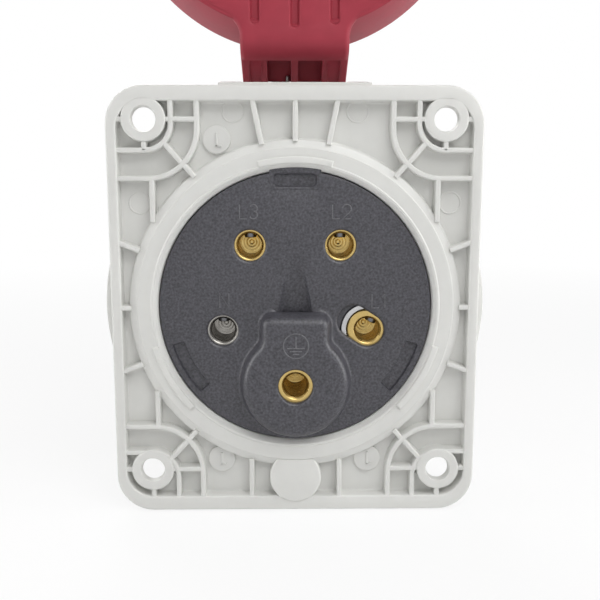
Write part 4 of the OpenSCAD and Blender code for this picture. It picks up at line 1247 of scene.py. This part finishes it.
def face_outline():
    """The lid's round face with the start of its neck, which runs straight across the bend."""
    r = LID_FACE_R - 0.1
    right, lean = neck_fillet(r, NECK_HALF, NECK_FILL, 14)
    right.append((NECK_HALF, BEND_V))
    return right + mirrored(right) + arc(0, 0, r, 180 - lean, 180 + 2 * lean, 140)[1:-1]


def face_level(outline, inset):
    """The face's outline moved in, but not where it meets the bend."""
    points = []
    for (x, y), moved in zip(outline, moved_in(outline, inset)):
        at_bend = y > BEND_V - 0.01
        points.append(((NECK_HALF - inset) * (1 if x > 0 else -1), y) if at_bend else moved)
    return points


def lid_face(skin):
    """Flat face with rolled edges and grip grooves."""
    outline = face_outline()
    foot, top = skin.walls([(face_level(outline, inset), LID_FACE + t) for inset, t in LID_EDGE])
    tops = [top]
    for x, reach in GRIPS:
        start = reach - GRIP_R
        groove = slot_loop(x, start, start + GRIP_L, GRIP_R, -90, 12)
        rim, bottom = skin.walls([(moved_in(groove, inset), LID_FACE + t) for inset, t in GRIP_WALL])
        tops.append(rim)
        skin.cap(bottom)
    skin.cap(*tops)
    skin.cap(foot)


def bent_neck(skin):
    """The face's rolled edges carried round the bend of the neck."""
    across = [(NECK_HALF - inset, t) for inset, t in ((0.0, 1.9), *LID_EDGE[1:])]
    across += [(-x, t) for x, t in reversed(across)]
    length, under = BEND_L + 0.7, 1.7
    stations = [(length * k / 16, 0.0) for k in range(17)] + [(length + 0.25, 0.35), (length + 0.38, 0.9)]
    rows = []
    for along, lift in stations:
        rows.append(skin.loop([(x, *neck_path(BEND_V + along, t + lift)) for x, t in across]))
    for along in (length - 0.4, -1.0):
        rows.append(skin.loop([(x, *neck_path(BEND_V + along, under)) for x, _ in across]))
    skin.stack(rows, False)


def lid_shell():
    skin = Skin()
    lid_cup(skin)
    lid_face(skin)
    bent_neck(skin)
    return skin.made("lid_shell", RED, opened)


def neck_wall(inset):
    """Side view of a wall or rib in the neck, from the lid's face to the hinge eye."""
    length = BEND_L + 0.4
    line = [neck_path(BEND_V + length * k / 8, 0.5 + inset) for k in range(9)]
    eye = arc(HINGE_V, HINGE_W, HINGE_EYE_R, -28, 200, 20)
    return [(39.5, LID_FACE + 1.2)] + line + eye + [(44.4, LID_RIM + 0.2), (43.4, LID_RIM - 3.0)]


def lid_neck():
    """Side walls, ribs, panels and floor of the lid's hollow neck."""
    skin = Skin()
    pin = circle(HINGE_V, HINGE_W, LID_EYE_R, 32)[::-1]
    for sx in (-1, 1):
        near, far = sorted((sx * NECK_WALL_IN, sx * (NECK_HALF - 0.02)))
        skin.slab([neck_wall(0.0), pin], near, far, 0.4, sideways, 3)
        near, far = sorted((sx * PANEL_IN, sx * PANEL_OUT))
        skin.slab([SIDE_PANEL], near, far, 0.1, sideways, 2)
    for x in NECK_RIBS:
        near, far = x - NECK_RIB_HALF, x + NECK_RIB_HALF
        skin.slab([neck_wall(NECK_RIB_IN), pin], near, far, 0.3, sideways, 3)
    skin.slab([NECK_FLOOR], 0.5 - NECK_HALF, NECK_HALF - 0.5, 0.1, sideways, 2)
    for near, far in NECK_TUBES:
        tube = [(LID_EYE_R, near), (NECK_TUBE_R, near), (NECK_TUBE_R, far), (LID_EYE_R, far)]
        skin.turned(tube, hinge_turn, 36, True)
    return skin.made("lid_neck", RED, opened)


def lid_seal():
    """Rubber ring with a groove between two lips."""
    r_in, r_out, low, top, groove = 34.36, 39.36, LID_INSIDE, LID_INSIDE + 3.0, LID_INSIDE + 2.4
    ring = rounded([
        (r_in, low, 0.3), (r_out, low, 0.3), (r_out, top, 0.7), (37.6, top, 0.3), (37.3, groove, 0.2),
        (36.4, groove, 0.2), (36.1, top, 0.3), (r_in, top, 0.7)], 4)
    return lathe("lid_seal_ring", RUBBER, ring, place=opened)


def hinge_pin():
    end = PIN_HALF + 0.1
    profile = rounded([(0, -end), (PIN_R, -PIN_HALF, 0.45), (PIN_R, PIN_HALF, 0.45), (0, end)], 5, False)
    return lathe("hinge_pin_ground", STEEL, profile, hinge_turn, 40, False)


SPRING_START, SPRING_END, COIL_R, COIL_WIRE = -6.1, -1.8, 2.5, 0.5
COIL_SWEEP, COIL_STEPS, LID_LEG = 1415, 112, 5.0


def lid_spring():
    """Torsion spring around the hinge pin: one leg on the collar, one on the lid's neck."""

    def step(k, along=0.0):
        a = radians(90 - COIL_SWEEP * k / COIL_STEPS)
        u = SPRING_START + (SPRING_END - SPRING_START) * k / COIL_STEPS
        return u, HINGE_V + COIL_R * cos(a) + along * sin(a), HINGE_W + COIL_R * sin(a) - along * cos(a)

    leg = HINGE_V - sqrt(COLLAR_R ** 2 - SPRING_START ** 2) - 0.3
    path = [step(0, -leg), step(0, -leg / 2)] + [step(k) for k in range(COIL_STEPS + 1)]
    path += [step(COIL_STEPS, LID_LEG / 2), step(COIL_STEPS, LID_LEG)]
    return swept("lid_spring_wound", WIRE_TREE, [path], STEEL, Wire_radius=COIL_WIRE * MM, Sides=14)


# The whole part

camera()
lamps()
backdrop()
ground()
for piece in (flange_tray(), flange_ribs(), round_body()):
    fitted(piece, "socket", "grey_plastic", "housing")
fitted(terminal_plate(), "socket", "dark_plastic", "terminal_plate")
fitted(terminal_marks(), "socket", "dark_plastic")
fitted(front_carrier(), "socket", "dark_plastic", "front_carrier")
fitted(insert_seal(), "socket", "rubber", "insert_seal")
for name in CONTACTS:
    fitted(contact(name), "socket", "nickel" if name == "n" else "brass", "contact_" + name)
    fitted(spring_ring(name), "socket", "steel", "spring_ring_" + name)
    fitted(screw_core(name), "clamp_" + name, "steel", "screw_" + name)
    fitted(screw_thread(name), "clamp_" + name, "steel")
fitted(terminal_clip(), "socket", "nickel", "terminal_clip")
fitted(hinge_pin(), "socket", "steel", "hinge_pin")
for piece in (lid_shell(), lid_neck()):
    fitted(piece, "lid_body", "red_plastic", "lid")
fitted(lid_seal(), "lid_body", "rubber", "lid_seal")
spring = lid_spring()
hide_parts("lid_spring")
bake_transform(spring)
